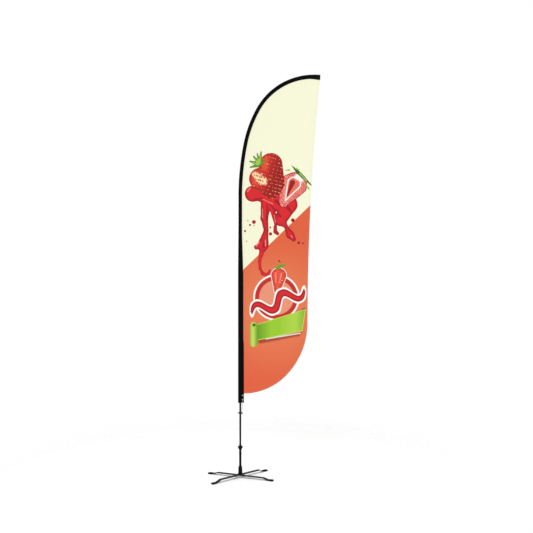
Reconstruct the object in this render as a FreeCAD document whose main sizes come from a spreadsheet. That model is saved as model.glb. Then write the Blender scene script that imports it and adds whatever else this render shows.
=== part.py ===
import FreeCAD, Part
import math
import os
import re
import Sketcher

# Feather flag on a swivelling pole. Millimetres. The origin is on the floor below the spindle,
# +Z is up, +X points from the pole towards the flag's free edge and -Y towards the flag's front.

os.makedirs("parts", exist_ok=True)
doc = FreeCAD.newDocument("FeatherFlag")
vector = FreeCAD.Vector

# ---------------------------------------------------------------- driving dimensions
dimensions = [
    ("barReach", 296, "cross base: half length of a flat bar"),
    ("barWidth", 30, "width of a flat bar"),
    ("barThick", 4.5, "thickness of a flat bar"),
    ("barKink", 208, "radius where the raised arm bends down"),
    ("barFoot", 254, "radius where the sloping part meets the foot"),
    ("barBend", 7, "inside radius of the bends"),
    ("armHeight", 15.25, "underside of the lower bar's raised arm"),
    ("footHeight", 2, "underside of the foot, which is the cap's sole thickness"),
    ("lowerTurn", -21.3, "direction of the lower bar about Z, degrees"),
    ("upperTurn", 41, "direction of the upper bar about Z, degrees"),
    ("capInner", 256, "radius where a foot cap begins"),
    ("capWall", 2.2, "wall of a foot cap"),
    ("capRound", 9, "corner radius of a foot cap seen from above"),
    ("discThick", 0.5, "nylon friction disc between the bars"),
    ("discRadius", 20, "radius of the friction disc"),
    ("runGap", 0.1, "running clearance on the cross pivot"),
    ("boltRadius", 5, "pivot bolt M10"),
    ("boltHead", 6.4, "height of the bolt's head"),
    ("boltFlats", 17, "width of the bolt's head across its flats"),
    ("boltTop", 31, "height of the bolt's end"),
    ("washerThick", 2, "washer under the lower bar"),
    ("washerRadius", 12, "radius of the washer"),
    ("flangeRadius", 24, "flange of the hub's foot plug"),
    ("flangeThick", 4, "thickness of that flange"),
    ("plugFloor", 32, "height of the recess inside the plug"),
    ("plugRecess", 8.5, "radius of that recess"),
    ("hubFootRadius", 18.5, "housing radius at the bottom"),
    ("hubHeadRadius", 16, "housing radius below the conical shoulder"),
    ("hubShoulder", 85, "height of the shoulder's lower edge"),
    ("hubTopRadius", 12.5, "radius at the top of the shoulder"),
    ("hubTop", 95, "height of the housing's top"),
    ("hubThroat", 11, "radius of the bore round the spindle"),
    ("sealSeat", 11.5, "radius of the dust seal's seat"),
    ("sealBase", 91, "height of the seal's underside"),
    ("sealTop", 98, "height of the seal's lip"),
    ("sealBore", 10.3, "bore of the seal"),
    ("bearingBore", 5, "bore radius of a 6000 bearing"),
    ("bearingOuter", 13, "outer radius of the bearing"),
    ("bearingWidth", 8, "width of the bearing"),
    ("lowerBearing", 40, "height of the lower bearing's middle"),
    ("upperBearing", 80, "height of the upper bearing's middle"),
    ("ballRadius", 2.381, "ball radius"),
    ("ballPitch", 9, "radius of the ball circle"),
    ("ballGap", 0.05, "clearance of a ball in its grooves"),
    ("pocketGap", 0.1, "clearance of a ball in the cage"),
    ("ballCount", 7, "balls in a bearing"),
    ("innerLand", 7.4, "outer radius of the inner ring"),
    ("outerLand", 10.6, "inner radius of the outer ring"),
    ("cageInner", 8.2, "inner radius of the cage"),
    ("cageOuter", 9.8, "outer radius of the cage"),
    ("cageHalf", 2.9, "half width of the cage"),
    ("journalBottom", 33.3, "lower end of the spindle"),
    ("clipThick", 1.2, "thickness of the circlip"),
    ("clipGroove", 4.7, "radius at the bottom of the circlip's groove"),
    ("clipRadius", 7.4, "outer radius of the circlip"),
    ("clipMouth", 3, "width of the circlip's opening"),
    ("columnRadius", 10, "radius of the spindle's column"),
    ("columnTop", 231, "top of the column"),
    ("ringLow", 199, "first turned ring on the column"),
    ("ringPitch", 10, "distance between the turned rings"),
    ("ringRadius", 11, "radius of the turned rings"),
    ("spigotRadius", 6.4, "spigot that holds the pole"),
    ("spigotTop", 462, "top of the spigot"),
    ("collarRadius", 21, "rim radius of the stop collar"),
    ("collarRim", 254, "height where the collar's cone ends"),
    ("collarTop", 262, "top of the stop collar"),
    ("poleRadius", 8, "bottom pole section"),
    ("poleBore", 6.5, "bore of the bottom section"),
    ("secondRadius", 7, "second pole section"),
    ("secondBore", 5.5, "its bore"),
    ("thirdRadius", 5.5, "third pole section"),
    ("thirdBore", 4, "its bore"),
    ("rodRadius", 4, "fibreglass tip section at its thick end"),
    ("rodTip", 2.5, "fibreglass tip section at its thin end"),
    ("firstJoint", 1000, "height of the first ferrule's middle"),
    ("secondJoint", 1720, "height of the second ferrule's middle"),
    ("thirdJoint", 2330, "height of the third ferrule's middle"),
    ("ferruleHalf", 30, "half length of a ferrule"),
    ("ferruleWall", 1.25, "wall of a ferrule"),
    ("ferruleWeb", 1, "half thickness of the web inside a ferrule"),
    ("footCapHeight", 14, "height of the cap on the pole's bottom"),
    ("footCapWall", 1.5, "wall of that cap"),
    ("bendStart", 2371.9, "height where the pole begins to bend"),
    ("bendRadiusA", 2253.5, "first bend, the gentlest"),
    ("bendAngleA", 11.1, "turn of the first bend, degrees"),
    ("bendRadiusB", 1020, "second bend"),
    ("bendAngleB", 17.7, "turn of the second bend, degrees"),
    ("bendRadiusC", 534.5, "third bend, the tightest"),
    ("bendAngleC", 63.9, "turn of the third bend, degrees"),
    ("tipStraight", 29, "straight end after the bends"),
    ("tipRoom", 3, "distance from the rod's end to the sleeve's closed end"),
    ("tipCapRadius", 4.5, "radius of the rod's rubber cap"),
    ("tipCapLength", 12, "how far the cap covers the rod"),
    ("tipCapSlack", 0.02, "room for the rod's taper in the cap's bore"),
    ("sleeveBottom", 628, "lower end of the sleeve"),
    ("sleeveLeft", -8, "centre of the sleeve's outer half round"),
    ("sleeveRight", 1, "centre of the sleeve's inner half round"),
    ("sleeveRound", 11, "radius of the half rounds"),
    ("sleeveWall", 0.8, "thickness of the sleeve's cloth"),
    ("webEdge", 26, "seam between the sleeve's web and the flag"),
    ("webThick", 1.2, "thickness of the doubled web"),
    ("pocketThick", 2, "thickness of the closed end of the sleeve"),
    ("tabLow", 640, "lower end of the grommet tab"),
    ("tabHigh", 702, "upper end of the grommet tab"),
    ("tabInner", 13.6, "edge of the tab near the pole"),
    ("tabThick", 1, "thickness of the tab's webbing"),
    ("grommetX", 20, "distance of the grommets from the pole's axis"),
    ("grommetLow", 654, "height of the lower grommet"),
    ("grommetPitch", 36, "distance between the grommets"),
    ("grommetBore", 3.25, "bore radius of a grommet"),
    ("grommetBarrel", 4, "radius of its barrel"),
    ("grommetFlange", 6, "radius of its flanges"),
    ("grommetLip", 0.6, "thickness of its flanges"),
    ("flagBottom", 706, "lower corner of the flag"),
    ("flagThick", 0.4, "thickness of the flag's knitted polyester"),
    ("flagRoundA", 501, "bottom edge: radius of the first arc"),
    ("flagRoundB", 634, "bottom edge: radius of the second arc"),
    ("flagTurn", 45, "angle where the two arcs meet, degrees"),
    ("flagHollow", 20700, "radius of the hollow free edge"),
    ("cordRadius", 1.5, "tension cord"),
    ("cordFront", -5.5, "distance of the cord in front of the seam"),
    ("knotRadius", 4.6, "knot behind the lower grommet"),
    ("knotThick", 5, "thickness of the knot"),
    ("clipBottom", 536, "lower face of the hook clip"),
    ("clipHeight", 12, "height of the hook clip's band"),
    ("clipWall", 2.5, "wall of the band"),
    ("lugX", 15, "hole in the clip's lug"),
    ("lugLow", 538, "underside of the lug"),
    ("lugHeight", 8, "height of the lug"),
    ("lugRadius", 4, "radius of the lug's end"),
    ("lugHole", 2.5, "radius of the lug's hole"),
    ("earReach", 18, "reach of the clip's ears behind the pole"),
    ("earHalf", 4, "half thickness over both ears"),
    ("splitHalf", 1, "half width of the split between the ears"),
    ("screwX", -14.3, "clamp screw's distance from the pole's axis"),
    ("screwRadius", 1.5, "clamp screw M3"),
    ("screwHead", 2.75, "radius of its head"),
    ("screwHeadHigh", 2.2, "height of its head"),
    ("nutFlats", 5.5, "width of the nut across its flats"),
    ("nutThick", 2.4, "thickness of the nut"),
    ("beadRadius", 3.6, "bead at the cord's lower end"),
    ("beadHeight", 7, "height of the bead"),
]
sizes = doc.addObject("Spreadsheet::Sheet", "Sizes")
for row, (alias, amount, meaning) in enumerate(dimensions, start=1):
    sizes.set(f"A{row}", meaning)
    sizes.set(f"B{row}", str(amount))
    sizes.setAlias(f"B{row}", alias)
doc.recompute()
aliases = {alias for alias, amount, meaning in dimensions}
nodes = []


# ---------------------------------------------------------------- helpers
def bound(text):
    """An expression in which every alias points at its cell."""
    return re.sub(r"[A-Za-z]\w*", lambda word: "Sizes." * (word.group() in aliases) + word.group(), str(text))


def value(text):
    return float(sizes.evalExpression(bound(text)))


def newBody(label, kept=True):
    body = doc.addObject("PartDesign::Body", label)
    body.Label = label
    if kept:
        nodes.append(body)
    return body


def origin(body, role):
    return next(feature for feature in body.Origin.OriginFeatures if feature.Role == role)


def newSketch(body, role="XZ_Plane", offset=0):
    """A sketch on a plane of its body's origin, moved along the plane's normal by offset."""
    sketch = body.newObject("Sketcher::SketchObject", "Sketch")
    sketch.AttachmentSupport = [(origin(body, role), "")]
    sketch.MapMode = "FlatFace"
    sketch.setExpression("AttachmentOffset.Base.z", bound(offset))
    return sketch


def constrain(sketch, expression, *place):
    index = sketch.addConstraint(Sketcher.Constraint(*place, value(expression)))
    sketch.setExpression(f"Constraints[{index}]", bound(expression))


def arcBetween(start, end, radius):
    """The arc from start to end; its centre is on the left when radius is positive."""
    chord = end - start
    middle = start + chord * 0.5
    left = vector(-chord.y, chord.x, 0).normalize() * math.copysign(1, radius)
    centre = middle + left * math.sqrt(max(radius ** 2 - chord.Length ** 2 / 4, 0))
    first, last = (start, end) if radius > 0 else (end, start)
    angles = [math.atan2(point.y - centre.y, point.x - centre.x) for point in (first, last)]
    if angles[1] < angles[0]:
        angles[1] += 2 * math.pi
    return Part.ArcOfCircle(Part.Circle(centre, vector(0, 0, 1), abs(radius)), *angles)


def draw(sketch, corners, closed=True):
    """Join corners (x, y, and the signed radius of an arc to the next corner) with lines and arcs."""
    spots = [vector(value(corner[0]), value(corner[1]), 0) for corner in corners]
    base = sketch.GeometryCount
    count = len(corners) if closed else len(corners) - 1
    ends = []
    for index in range(count):
        start, end = spots[index], spots[(index + 1) % len(spots)]
        if len(corners[index]) == 3:
            radius = value(corners[index][2])
            sketch.addGeometry(arcBetween(start, end, radius), False)
            ends.append((1, 2) if radius > 0 else (2, 1))
        else:
            sketch.addGeometry(Part.LineSegment(start, end), False)
            ends.append((1, 2))
    for index in range(count):
        line, (first, last) = base + index, ends[index]
        constrain(sketch, corners[index][0], "DistanceX", -1, 1, line, first)
        constrain(sketch, corners[index][1], "DistanceY", -1, 1, line, first)
        if len(corners[index]) == 3:
            constrain(sketch, f"abs({corners[index][2]})", "Radius", line)
        if closed or index < count - 1:
            following = (index + 1) % count
            sketch.addConstraint(
                Sketcher.Constraint("Coincident", line, last, base + following, ends[following][0]))
    if not closed:
        constrain(sketch, corners[-1][0], "DistanceX", -1, 1, base + count - 1, ends[-1][1])
        constrain(sketch, corners[-1][1], "DistanceY", -1, 1, base + count - 1, ends[-1][1])
    doc.recompute()
    return sketch


def disc(sketch, x, y, radius):
    """A full circle bound to its centre and radius."""
    line = sketch.addGeometry(Part.Circle(vector(value(x), value(y), 0), vector(0, 0, 1), value(radius)), False)
    constrain(sketch, x, "DistanceX", -1, 1, line, 3)
    constrain(sketch, y, "DistanceY", -1, 1, line, 3)
    constrain(sketch, radius, "Radius", line)
    return sketch


def box(low, high):
    """The four corners of a rectangle."""
    return [low, (high[0], low[1]), high, (low[0], high[1])]


def pad(body, sketch, length, middle=False):
    feature = body.newObject("PartDesign::Pad", "Pad")
    feature.Profile = sketch
    feature.Midplane = middle
    feature.setExpression("Length", bound(length))
    doc.recompute()
    return feature


def cut(body, sketch, length, middle=True):
    """A pocket through the body on both sides of its sketch, or only below the sketch."""
    before = body.Tip.Shape.Volume
    feature = body.newObject("PartDesign::Pocket", "Pocket")
    feature.Profile = sketch
    feature.Midplane = middle
    feature.setExpression("Length", bound(length))
    doc.recompute()
    assert feature.Shape.Volume < before - 0.01, f"{body.Label}: a pocket cuts nothing"
    return feature


def turned(label, corners):
    """A piece turned about Z; its corners are radius and height."""
    body = newBody(label)
    spin(body, corners)
    return body


def spin(body, corners):
    sketch = draw(newSketch(body), corners)
    feature = body.newObject("PartDesign::Revolution", "Revolution")
    feature.Profile = sketch
    feature.ReferenceAxis = (sketch, ["V_Axis"])
    feature.Angle = 360
    doc.recompute()
    return feature


def soften(body, radius, chosen, kind="Fillet"):
    """Round or chamfer the edges of the body that chosen() accepts."""
    before = body.Tip
    names = [f"Edge{index}" for index, edge in enumerate(before.Shape.Edges, start=1) if chosen(edge)]
    assert names, f"{body.Label}: no edge to soften"
    feature = body.newObject(f"PartDesign::{kind}", kind)
    feature.Base = (before, names)
    feature.setExpression("Radius" if kind == "Fillet" else "Size", bound(radius))
    doc.recompute()
    return feature


def repeat(body, count, axis="Z_Axis", length=None):
    """Repeat the whole body about an axis, or along it over a length."""
    kind = "LinearPattern" if length else "PolarPattern"
    pattern = body.newObject(f"PartDesign::{kind}", kind)
    pattern.TransformMode = "Whole shape"
    if length:
        pattern.Direction = (origin(body, axis), [""])
        pattern.setExpression("Length", bound(length))
    else:
        pattern.Axis = (origin(body, axis), [""])
        pattern.Angle = 360
    pattern.setExpression("Occurrences", bound(count))
    body.Tip = pattern
    doc.recompute()
    wanted = round(value(count))
    assert len(body.Shape.Solids) == wanted, f"{body.Label}: {wanted} solids wanted"


def place(part, x=0, y=0, z=0, axis=(0, 0, 1), angle=0):
    """Bind a part's placement to the sheet."""
    part.Placement = FreeCAD.Placement(vector(0, 0, 0), FreeCAD.Rotation(vector(*axis), 1))
    for name, text in (("Base.x", x), ("Base.y", y), ("Base.z", z), ("Rotation.Angle", angle)):
        part.setExpression(f"Placement.{name}", bound(text))
    doc.recompute()


# ---------------------------------------------------------------- cross base
upperArm = "(armHeight + barThick + discThick + runGap)"
hubBase = f"({upperArm} + barThick)"


def crossBar(label, arm, turn):
    """A flat bar with a raised middle; both ends slope down to flat feet."""
    body = newBody(label)
    drop = f"({arm} - footHeight)"
    lean = f"(barThick * tan(atan({drop} / (barFoot - barKink)) / 2))"
    below = [("barKink", arm), ("barFoot", "footHeight"), ("barReach", "footHeight")]
    above = [("barReach", "footHeight + barThick"), (f"barFoot + {lean}", "footHeight + barThick"),
             (f"barKink + {lean}", f"{arm} + barThick")]
    half = below + above
    mirrored = [(f"-({x})", z) for x, z in reversed(half)]
    pad(body, draw(newSketch(body), half + mirrored), "barWidth", middle=True)
    cut(body, disc(newSketch(body, "XY_Plane", arm), 0, 0, "boltRadius + runGap"), "4 * barThick")

    def bend(edge):
        spot = edge.CenterOfMass
        along = abs(edge.tangentAt(edge.FirstParameter).y) > 0.99
        return along and value("barKink") - 5 < abs(spot.x) < value("barFoot") + 5
    soften(body, "barBend", bend)
    place(body, angle=turn)


def footCaps(label, turn):
    """Two moulded caps, one on each end of a bar, with a pocket for the bar's end."""
    body = newBody(label)
    wide = "(barWidth / 2 + capWall)"
    tip = "(barReach + capWall)"
    sole = newSketch(body, "XY_Plane")
    draw(sole, [("capInner", f"-{wide}"), (f"{tip} - capRound", f"-{wide}", "capRound"),
                (tip, f"capRound - {wide}"), (tip, f"{wide} - capRound", "capRound"),
                (f"{tip} - capRound", wide), ("capInner", wide)])
    pad(body, sole, "footHeight + barThick + capWall")
    top = value("footHeight + barThick + capWall")
    soften(body, "capWall * 0.6", lambda edge: abs(edge.CenterOfMass.z - top) < 0.01)
    mouth = newSketch(body, "XY_Plane", "footHeight + barThick")
    draw(mouth, box(("capInner - 1", "-barWidth / 2"), ("barReach", "barWidth / 2")))
    cut(body, mouth, "barThick", middle=False)
    repeat(body, 2)
    place(body, angle=turn)


crossBar("lower_cross_bar", "armHeight", "lowerTurn")
crossBar("upper_cross_bar", upperArm, "upperTurn")
footCaps("lower_foot_caps", "lowerTurn")
footCaps("upper_foot_caps", "upperTurn")

turned("friction_disc", box(("boltRadius + runGap", "armHeight + barThick"),
                            ("discRadius", "armHeight + barThick + discThick")))
washerTop = "(armHeight - runGap)"
washerBottom = f"({washerTop} - washerThick)"
turned("pivot_washer", box(("boltRadius + runGap", washerBottom), ("washerRadius", washerTop)))

bolt = turned("pivot_bolt", [(0, washerBottom), ("boltRadius", washerBottom),
                             ("boltRadius", "boltTop - 1"), ("boltRadius - 1", "boltTop"), (0, "boltTop")])
corner = "(boltFlats / 2 / cos(30))"
hexagon = [(f"{corner} * cos({60 * side})", f"{corner} * sin({60 * side})") for side in range(6)]
pad(bolt, draw(newSketch(bolt, "XY_Plane", f"{washerBottom} - boltHead"), hexagon), "boltHead")


# ---------------------------------------------------------------- hub and bearings
turned("hub_foot_plug", [
    ("boltRadius", hubBase), ("flangeRadius - 1", hubBase), ("flangeRadius", f"{hubBase} + 1"),
    ("flangeRadius", f"{hubBase} + flangeThick - 1"), ("flangeRadius - 1", f"{hubBase} + flangeThick"),
    ("bearingOuter", f"{hubBase} + flangeThick"), ("bearingOuter", "lowerBearing - bearingWidth / 2"),
    ("plugRecess", "lowerBearing - bearingWidth / 2"), ("plugRecess", "plugFloor"),
    ("boltRadius", "plugFloor")])
turned("hub_housing", [
    ("bearingOuter", f"{hubBase} + flangeThick"), ("hubFootRadius - 0.5", f"{hubBase} + flangeThick"),
    ("hubFootRadius", f"{hubBase} + flangeThick + 0.5"), ("hubHeadRadius", "hubShoulder"),
    ("hubTopRadius", "hubTop"), ("sealSeat", "hubTop"), ("sealSeat", "sealBase"),
    ("hubThroat", "sealBase"), ("hubThroat", "upperBearing + bearingWidth / 2"),
    ("bearingOuter", "upperBearing + bearingWidth / 2")])
turned("hub_dust_seal", [
    ("sealBore", "sealBase"), ("sealSeat", "sealBase"), ("sealSeat", "hubTop"),
    ("sealSeat + 0.4", "hubTop"), ("sealBore + 0.4", "sealTop"), ("sealBore", "sealTop")])


def bearing(name, height):
    """A deep-groove ball bearing of four pieces round Z at a height."""
    groove = "(ballRadius + ballGap)"
    half = "bearingWidth / 2"

    def ring(part, wall, land, side):
        open_ = f"sqrt({groove}^2 - ({land} - ballPitch)^2)"
        if side > 0:
            corners = [(land, f"-{half}"), (wall, f"-{half}"), (wall, half), (land, half),
                       (land, open_, f"-{groove}"), (land, f"-{open_}")]
        else:
            corners = [(wall, f"-{half}"), (land, f"-{half}"), (land, f"-{open_}", f"-{groove}"),
                       (land, open_), (land, half), (wall, half)]
        place(turned(f"{name}_bearing_{part}_ring", corners), z=height)
    ring("outer", "bearingOuter", "outerLand", 1)
    ring("inner", "bearingBore", "innerLand", -1)

    balls = newBody(f"{name}_bearing_balls")
    ball = balls.newObject("PartDesign::AdditiveSphere", "Ball")
    ball.AttachmentSupport = [(origin(balls, "XY_Plane"), "")]
    ball.MapMode = "FlatFace"
    ball.setExpression("AttachmentOffset.Base.x", bound("ballPitch"))
    ball.setExpression("Radius", bound("ballRadius"))
    doc.recompute()
    repeat(balls, "ballCount")
    place(balls, z=height)

    cage = turned(f"{name}_bearing_cage", box(("cageInner", "-cageHalf"), ("cageOuter", "cageHalf")))
    window = disc(newSketch(cage, "YZ_Plane", "cageOuter + 1"), 0, 0, "ballRadius + pocketGap")
    hole = cut(cage, window, "cageOuter - cageInner + 2", middle=False)
    pattern = cage.newObject("PartDesign::PolarPattern", "PolarPattern")
    pattern.Originals = [hole]
    pattern.Axis = (origin(cage, "Z_Axis"), [""])
    pattern.Angle = 360
    pattern.setExpression("Occurrences", bound("ballCount"))
    cage.Tip = pattern
    place(cage, z=height)


bearing("lower", "lowerBearing")
bearing("upper", "upperBearing")


# ---------------------------------------------------------------- spindle
lowerFace = "(lowerBearing - bearingWidth / 2)"
shoulder = "(upperBearing + bearingWidth / 2)"
turned("bearing_spacer", box(("bearingBore", "lowerBearing + bearingWidth / 2"),
                             ("innerLand", "upperBearing - bearingWidth / 2")))
circlip = turned("spindle_circlip", box(("clipGroove", f"{lowerFace} - clipThick"), ("clipRadius", lowerFace)))
cut(circlip, draw(newSketch(circlip, "XY_Plane", lowerFace), box((0, "-clipMouth / 2"), ("clipRadius + 1", "clipMouth / 2"))), "2 * clipThick")


def turnedRing(height):
    """Three corners of a shallow turned ring on the column."""
    return [("columnRadius", f"{height} - 2"), ("ringRadius", f"{height}"), ("columnRadius", f"{height} + 2")]


turned("spindle", [
    (0, "journalBottom"), ("clipGroove", "journalBottom"), ("bearingBore", "journalBottom + 0.5"),
    ("bearingBore", f"{lowerFace} - clipThick"), ("clipGroove", f"{lowerFace} - clipThick"),
    ("clipGroove", lowerFace), ("bearingBore", lowerFace), ("bearingBore", shoulder),
    ("innerLand", shoulder), ("innerLand", f"{shoulder} + 1.5"), ("columnRadius", f"{shoulder} + 1.5")]
    + turnedRing("ringLow") + turnedRing("(ringLow + ringPitch)")
    + [("columnRadius", "columnTop"), ("spigotRadius", "columnTop"), ("spigotRadius", "spigotTop - 2"),
       ("spigotRadius - 1.5", "spigotTop"), (0, "spigotTop")])
turned("stop_collar", [
    ("spigotRadius", "columnTop"), ("columnRadius", "columnTop"), ("collarRadius", "collarRim"),
    ("collarRadius", "collarTop - 2"), ("collarRadius - 2", "collarTop"), ("spigotRadius", "collarTop")])


# ---------------------------------------------------------------- pole
turned("pole_foot_cap", [
    ("poleBore", "collarTop"), ("poleRadius + footCapWall - 1", "collarTop"),
    ("poleRadius + footCapWall", "collarTop + 1"), ("poleRadius + footCapWall", "collarTop + footCapHeight - 1"),
    ("poleRadius + footCapWall - 1", "collarTop + footCapHeight"),
    ("poleRadius", "collarTop + footCapHeight"), ("poleRadius", "collarTop + footCapWall"),
    ("poleBore", "collarTop + footCapWall")])
turned("pole_section_1", box(("poleBore", "collarTop + footCapWall"), ("poleRadius", "firstJoint - ferruleWeb")))
turned("pole_section_2", box(("secondBore", "firstJoint + ferruleWeb"),
                             ("secondRadius", "secondJoint - ferruleWeb")))
turned("pole_section_3", box(("thirdBore", "secondJoint + ferruleWeb"), ("thirdRadius", "thirdJoint - ferruleWeb")))


def ferrule(label, joint, below, above):
    """A turned sleeve joining two pole sections; its upper end is slimmer."""
    low, high = f"{joint} - ferruleHalf", f"{joint} + ferruleHalf"
    wide, slim = f"({below} + ferruleWall)", f"({above} + ferruleWall)"
    turned(label, [
        (below, low), (f"{wide} - 0.5", low), (wide, f"{low} + 1"), (wide, f"{joint} + 3"),
        (slim, f"{joint} + 5"), (slim, f"{high} - 1"), (f"{slim} - 0.5", high), (above, high),
        (above, f"{joint} + ferruleWeb"), (f"{above} - 1.5", f"{joint} + ferruleWeb"),
        (f"{above} - 1.5", f"{joint} - ferruleWeb"), (below, f"{joint} - ferruleWeb")])


ferrule("ferrule_1", "firstJoint", "poleRadius", "secondRadius")
ferrule("ferrule_2", "secondJoint", "secondRadius", "thirdRadius")
ferrule("ferrule_3", "thirdJoint", "thirdRadius", "rodRadius")


# ---------------------------------------------------------------- the bend at the top
def bendPoints(offset):
    """Corners of the pole's bent line moved right by offset: bend start, three bend ends and the tip."""
    x, z, turn = f"({offset})", "bendStart", "0"
    points = []
    for name in "ABC":
        radius = f"(bendRadius{name} - ({offset}))"
        points.append((x, z, f"-{radius}"))
        after = f"{turn} + bendAngle{name}"
        x = f"{x} + {radius} * (cos({turn}) - cos({after}))"
        z = f"{z} + {radius} * (sin({after}) - sin({turn}))"
        turn = after
    points.append((x, z))
    points.append((f"{x} + tipStraight * sin({turn})", f"{z} + tipStraight * cos({turn})"))
    return points


tipTurn = "(bendAngleA + bendAngleB + bendAngleC)"
tipX, tipZ = bendPoints(0)[-1]


def bentPath(body, low, short=0):
    """The pole's line as an open sketch from a height to the tip, less a short piece."""
    points = bendPoints(0)
    if short:
        points[-1] = (f"{tipX} - ({short}) * sin({tipTurn})", f"{tipZ} - ({short}) * cos({tipTurn})")
    return draw(newSketch(body), [(0, low)] + points, closed=False)


def sweep(body, profile, path):
    feature = body.newObject("PartDesign::AdditivePipe", "Pipe")
    feature.Profile = profile
    feature.Spine = (path, [])
    doc.recompute()
    return feature


# The tip section tapers along the bend, so it is swept through a large and a small circle.
rod = doc.addObject("Part::Feature", "pole_section_4")
rod.Label = "pole_section_4"
nodes.append(rod)
rodPath = bentPath(newBody("rod_path", kept=False), "thirdJoint + ferruleWeb", "tipRoom")
line = rodPath.Shape.Wires[0]
ends = sorted((vertex.Point for vertex in line.Vertexes), key=lambda point: point.z + point.x)
thick = Part.Wire(Part.Circle(ends[0], vector(0, 0, 1), value("rodRadius")).toShape())
tipAim = vector(math.sin(math.radians(value(tipTurn))), 0, math.cos(math.radians(value(tipTurn))))
thin = Part.Wire(Part.Circle(ends[-1], tipAim, value("rodTip")).toShape())
rod.Shape = line.makePipeShell([thick, thin], True, False)

capBore = "(rodTip + tipCapSlack)"
tipCap = turned("pole_tip_cap", [
    (capBore, "-tipCapLength"), (f"{capBore} + 1", "-tipCapLength"), ("tipCapRadius", "4 - tipCapLength"),
    ("tipCapRadius", "tipRoom - 2"), ("tipCapRadius - 2", "tipRoom"), (0, "tipRoom"), (0, 0), (capBore, 0)])
place(tipCap, f"{tipX} - tipRoom * sin({tipTurn})", 0, f"{tipZ} - tipRoom * cos({tipTurn})",
      (0, 1, 0), tipTurn)


# ---------------------------------------------------------------- sleeve and flag
def flatTube(radius):
    """A tube section with two half-round ends, seen along the pole."""
    return [("sleeveLeft", f"-({radius})"), ("sleeveRight", f"-({radius})", radius),
            (f"sleeveRight + {radius}", 0, radius), ("sleeveRight", radius),
            ("sleeveLeft", radius, radius), (f"sleeveLeft - ({radius})", 0, radius)]


sleeve = newBody("pole_sleeve")
sleeveLine = bentPath(sleeve, "sleeveBottom")
tube = newSketch(sleeve, "XY_Plane", "sleeveBottom")
draw(tube, flatTube("sleeveRound"))
draw(tube, flatTube("sleeveRound - sleeveWall"))
sweep(sleeve, tube, sleeveLine)
web = draw(newSketch(sleeve, "XY_Plane", "sleeveBottom"),
           box(("sleeveRight + sleeveRound - sleeveWall / 2", "-webThick / 2"), ("webEdge", "webThick / 2")))
sweep(sleeve, web, bentPath(sleeve, "sleeveBottom"))


def grommetHoles(body):
    holes = newSketch(body)
    disc(holes, "grommetX", "grommetLow", "grommetBarrel")
    disc(holes, "grommetX", "grommetLow + grommetPitch", "grommetBarrel")
    cut(body, holes, 10)


grommetHoles(sleeve)

tab = newBody("grommet_tab")
outside = "(webThick / 2 + tabThick)"
fold = draw(newSketch(tab, "XY_Plane", "tabLow"), [
    ("tabInner", f"-{outside}"), ("webEdge + tabThick", f"-{outside}"), ("webEdge + tabThick", outside),
    ("tabInner", outside), ("tabInner", "webThick / 2"), ("webEdge", "webThick / 2"),
    ("webEdge", "-webThick / 2"), ("tabInner", "-webThick / 2")])
pad(tab, fold, "tabHigh - tabLow")
grommetHoles(tab)

grommets = turned("sleeve_grommets", [
    ("grommetBore", f"-{outside} - grommetLip"), ("grommetFlange - 0.3", f"-{outside} - grommetLip"),
    ("grommetFlange", f"-{outside}"), ("grommetBarrel", f"-{outside}"), ("grommetBarrel", outside),
    ("grommetFlange", outside), ("grommetFlange - 0.3", f"{outside} + grommetLip"),
    ("grommetBore", f"{outside} + grommetLip")])
repeat(grommets, 2, "Y_Axis", "grommetPitch")
place(grommets, "grommetX", 0, "grommetLow", (1, 0, 0), 90)

pocket = newBody("sleeve_tip_pocket")
pad(pocket, draw(newSketch(pocket, "XY_Plane"), flatTube("sleeveRound")), "pocketThick")
place(pocket, tipX, 0, tipZ, (0, 1, 0), tipTurn)

flag = newBody("flag_panel")
seam = bendPoints("webEdge")
cornerX = "(webEdge + flagRoundA * sin(flagTurn) + flagRoundB * (1 - sin(flagTurn)))"
cornerZ = "(flagBottom + flagRoundA * (1 - cos(flagTurn)) + flagRoundB * cos(flagTurn))"
outline = [("webEdge", "flagBottom")] + seam
outline[-1] = (seam[-1][0], seam[-1][1], "flagHollow")
outline += [(cornerX, cornerZ, "-flagRoundB"),
            ("webEdge + flagRoundA * sin(flagTurn)", "flagBottom + flagRoundA * (1 - cos(flagTurn))",
             "-flagRoundA")]
pad(flag, draw(newSketch(flag), outline), "flagThick", middle=True)


# ---------------------------------------------------------------- tension cord and its clip
clip = newBody("cord_hook_clip")
ring = "(poleRadius + clipWall)"
pad(clip, disc(newSketch(clip, "XY_Plane", "clipBottom"), 0, 0, ring), "clipHeight")
ears = box(("-earReach", "-earHalf"), (0, "earHalf"))
pad(clip, draw(newSketch(clip, "XY_Plane", "clipBottom"), ears), "clipHeight")
lug = [(0, "-lugRadius"), ("lugX", "-lugRadius", "lugRadius"), ("lugX + lugRadius", 0, "lugRadius"),
       ("lugX", "lugRadius"), (0, "lugRadius")]
pad(clip, draw(newSketch(clip, "XY_Plane", "lugLow"), lug), "lugHeight")
cut(clip, disc(newSketch(clip, "XY_Plane", "clipBottom"), 0, 0, "poleRadius"), "4 * clipHeight")
cut(clip, disc(newSketch(clip, "XY_Plane", "clipBottom"), "lugX", 0, "lugHole"), "4 * clipHeight")
split = box(("-earReach - 1", "-splitHalf"), ("-poleRadius / 2", "splitHalf"))
cut(clip, draw(newSketch(clip, "XY_Plane", "clipBottom"), split), "4 * clipHeight")
screwHeight = "(clipBottom + clipHeight / 2)"
cut(clip, disc(newSketch(clip), "screwX", screwHeight, "screwRadius"), "4 * earHalf")

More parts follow.
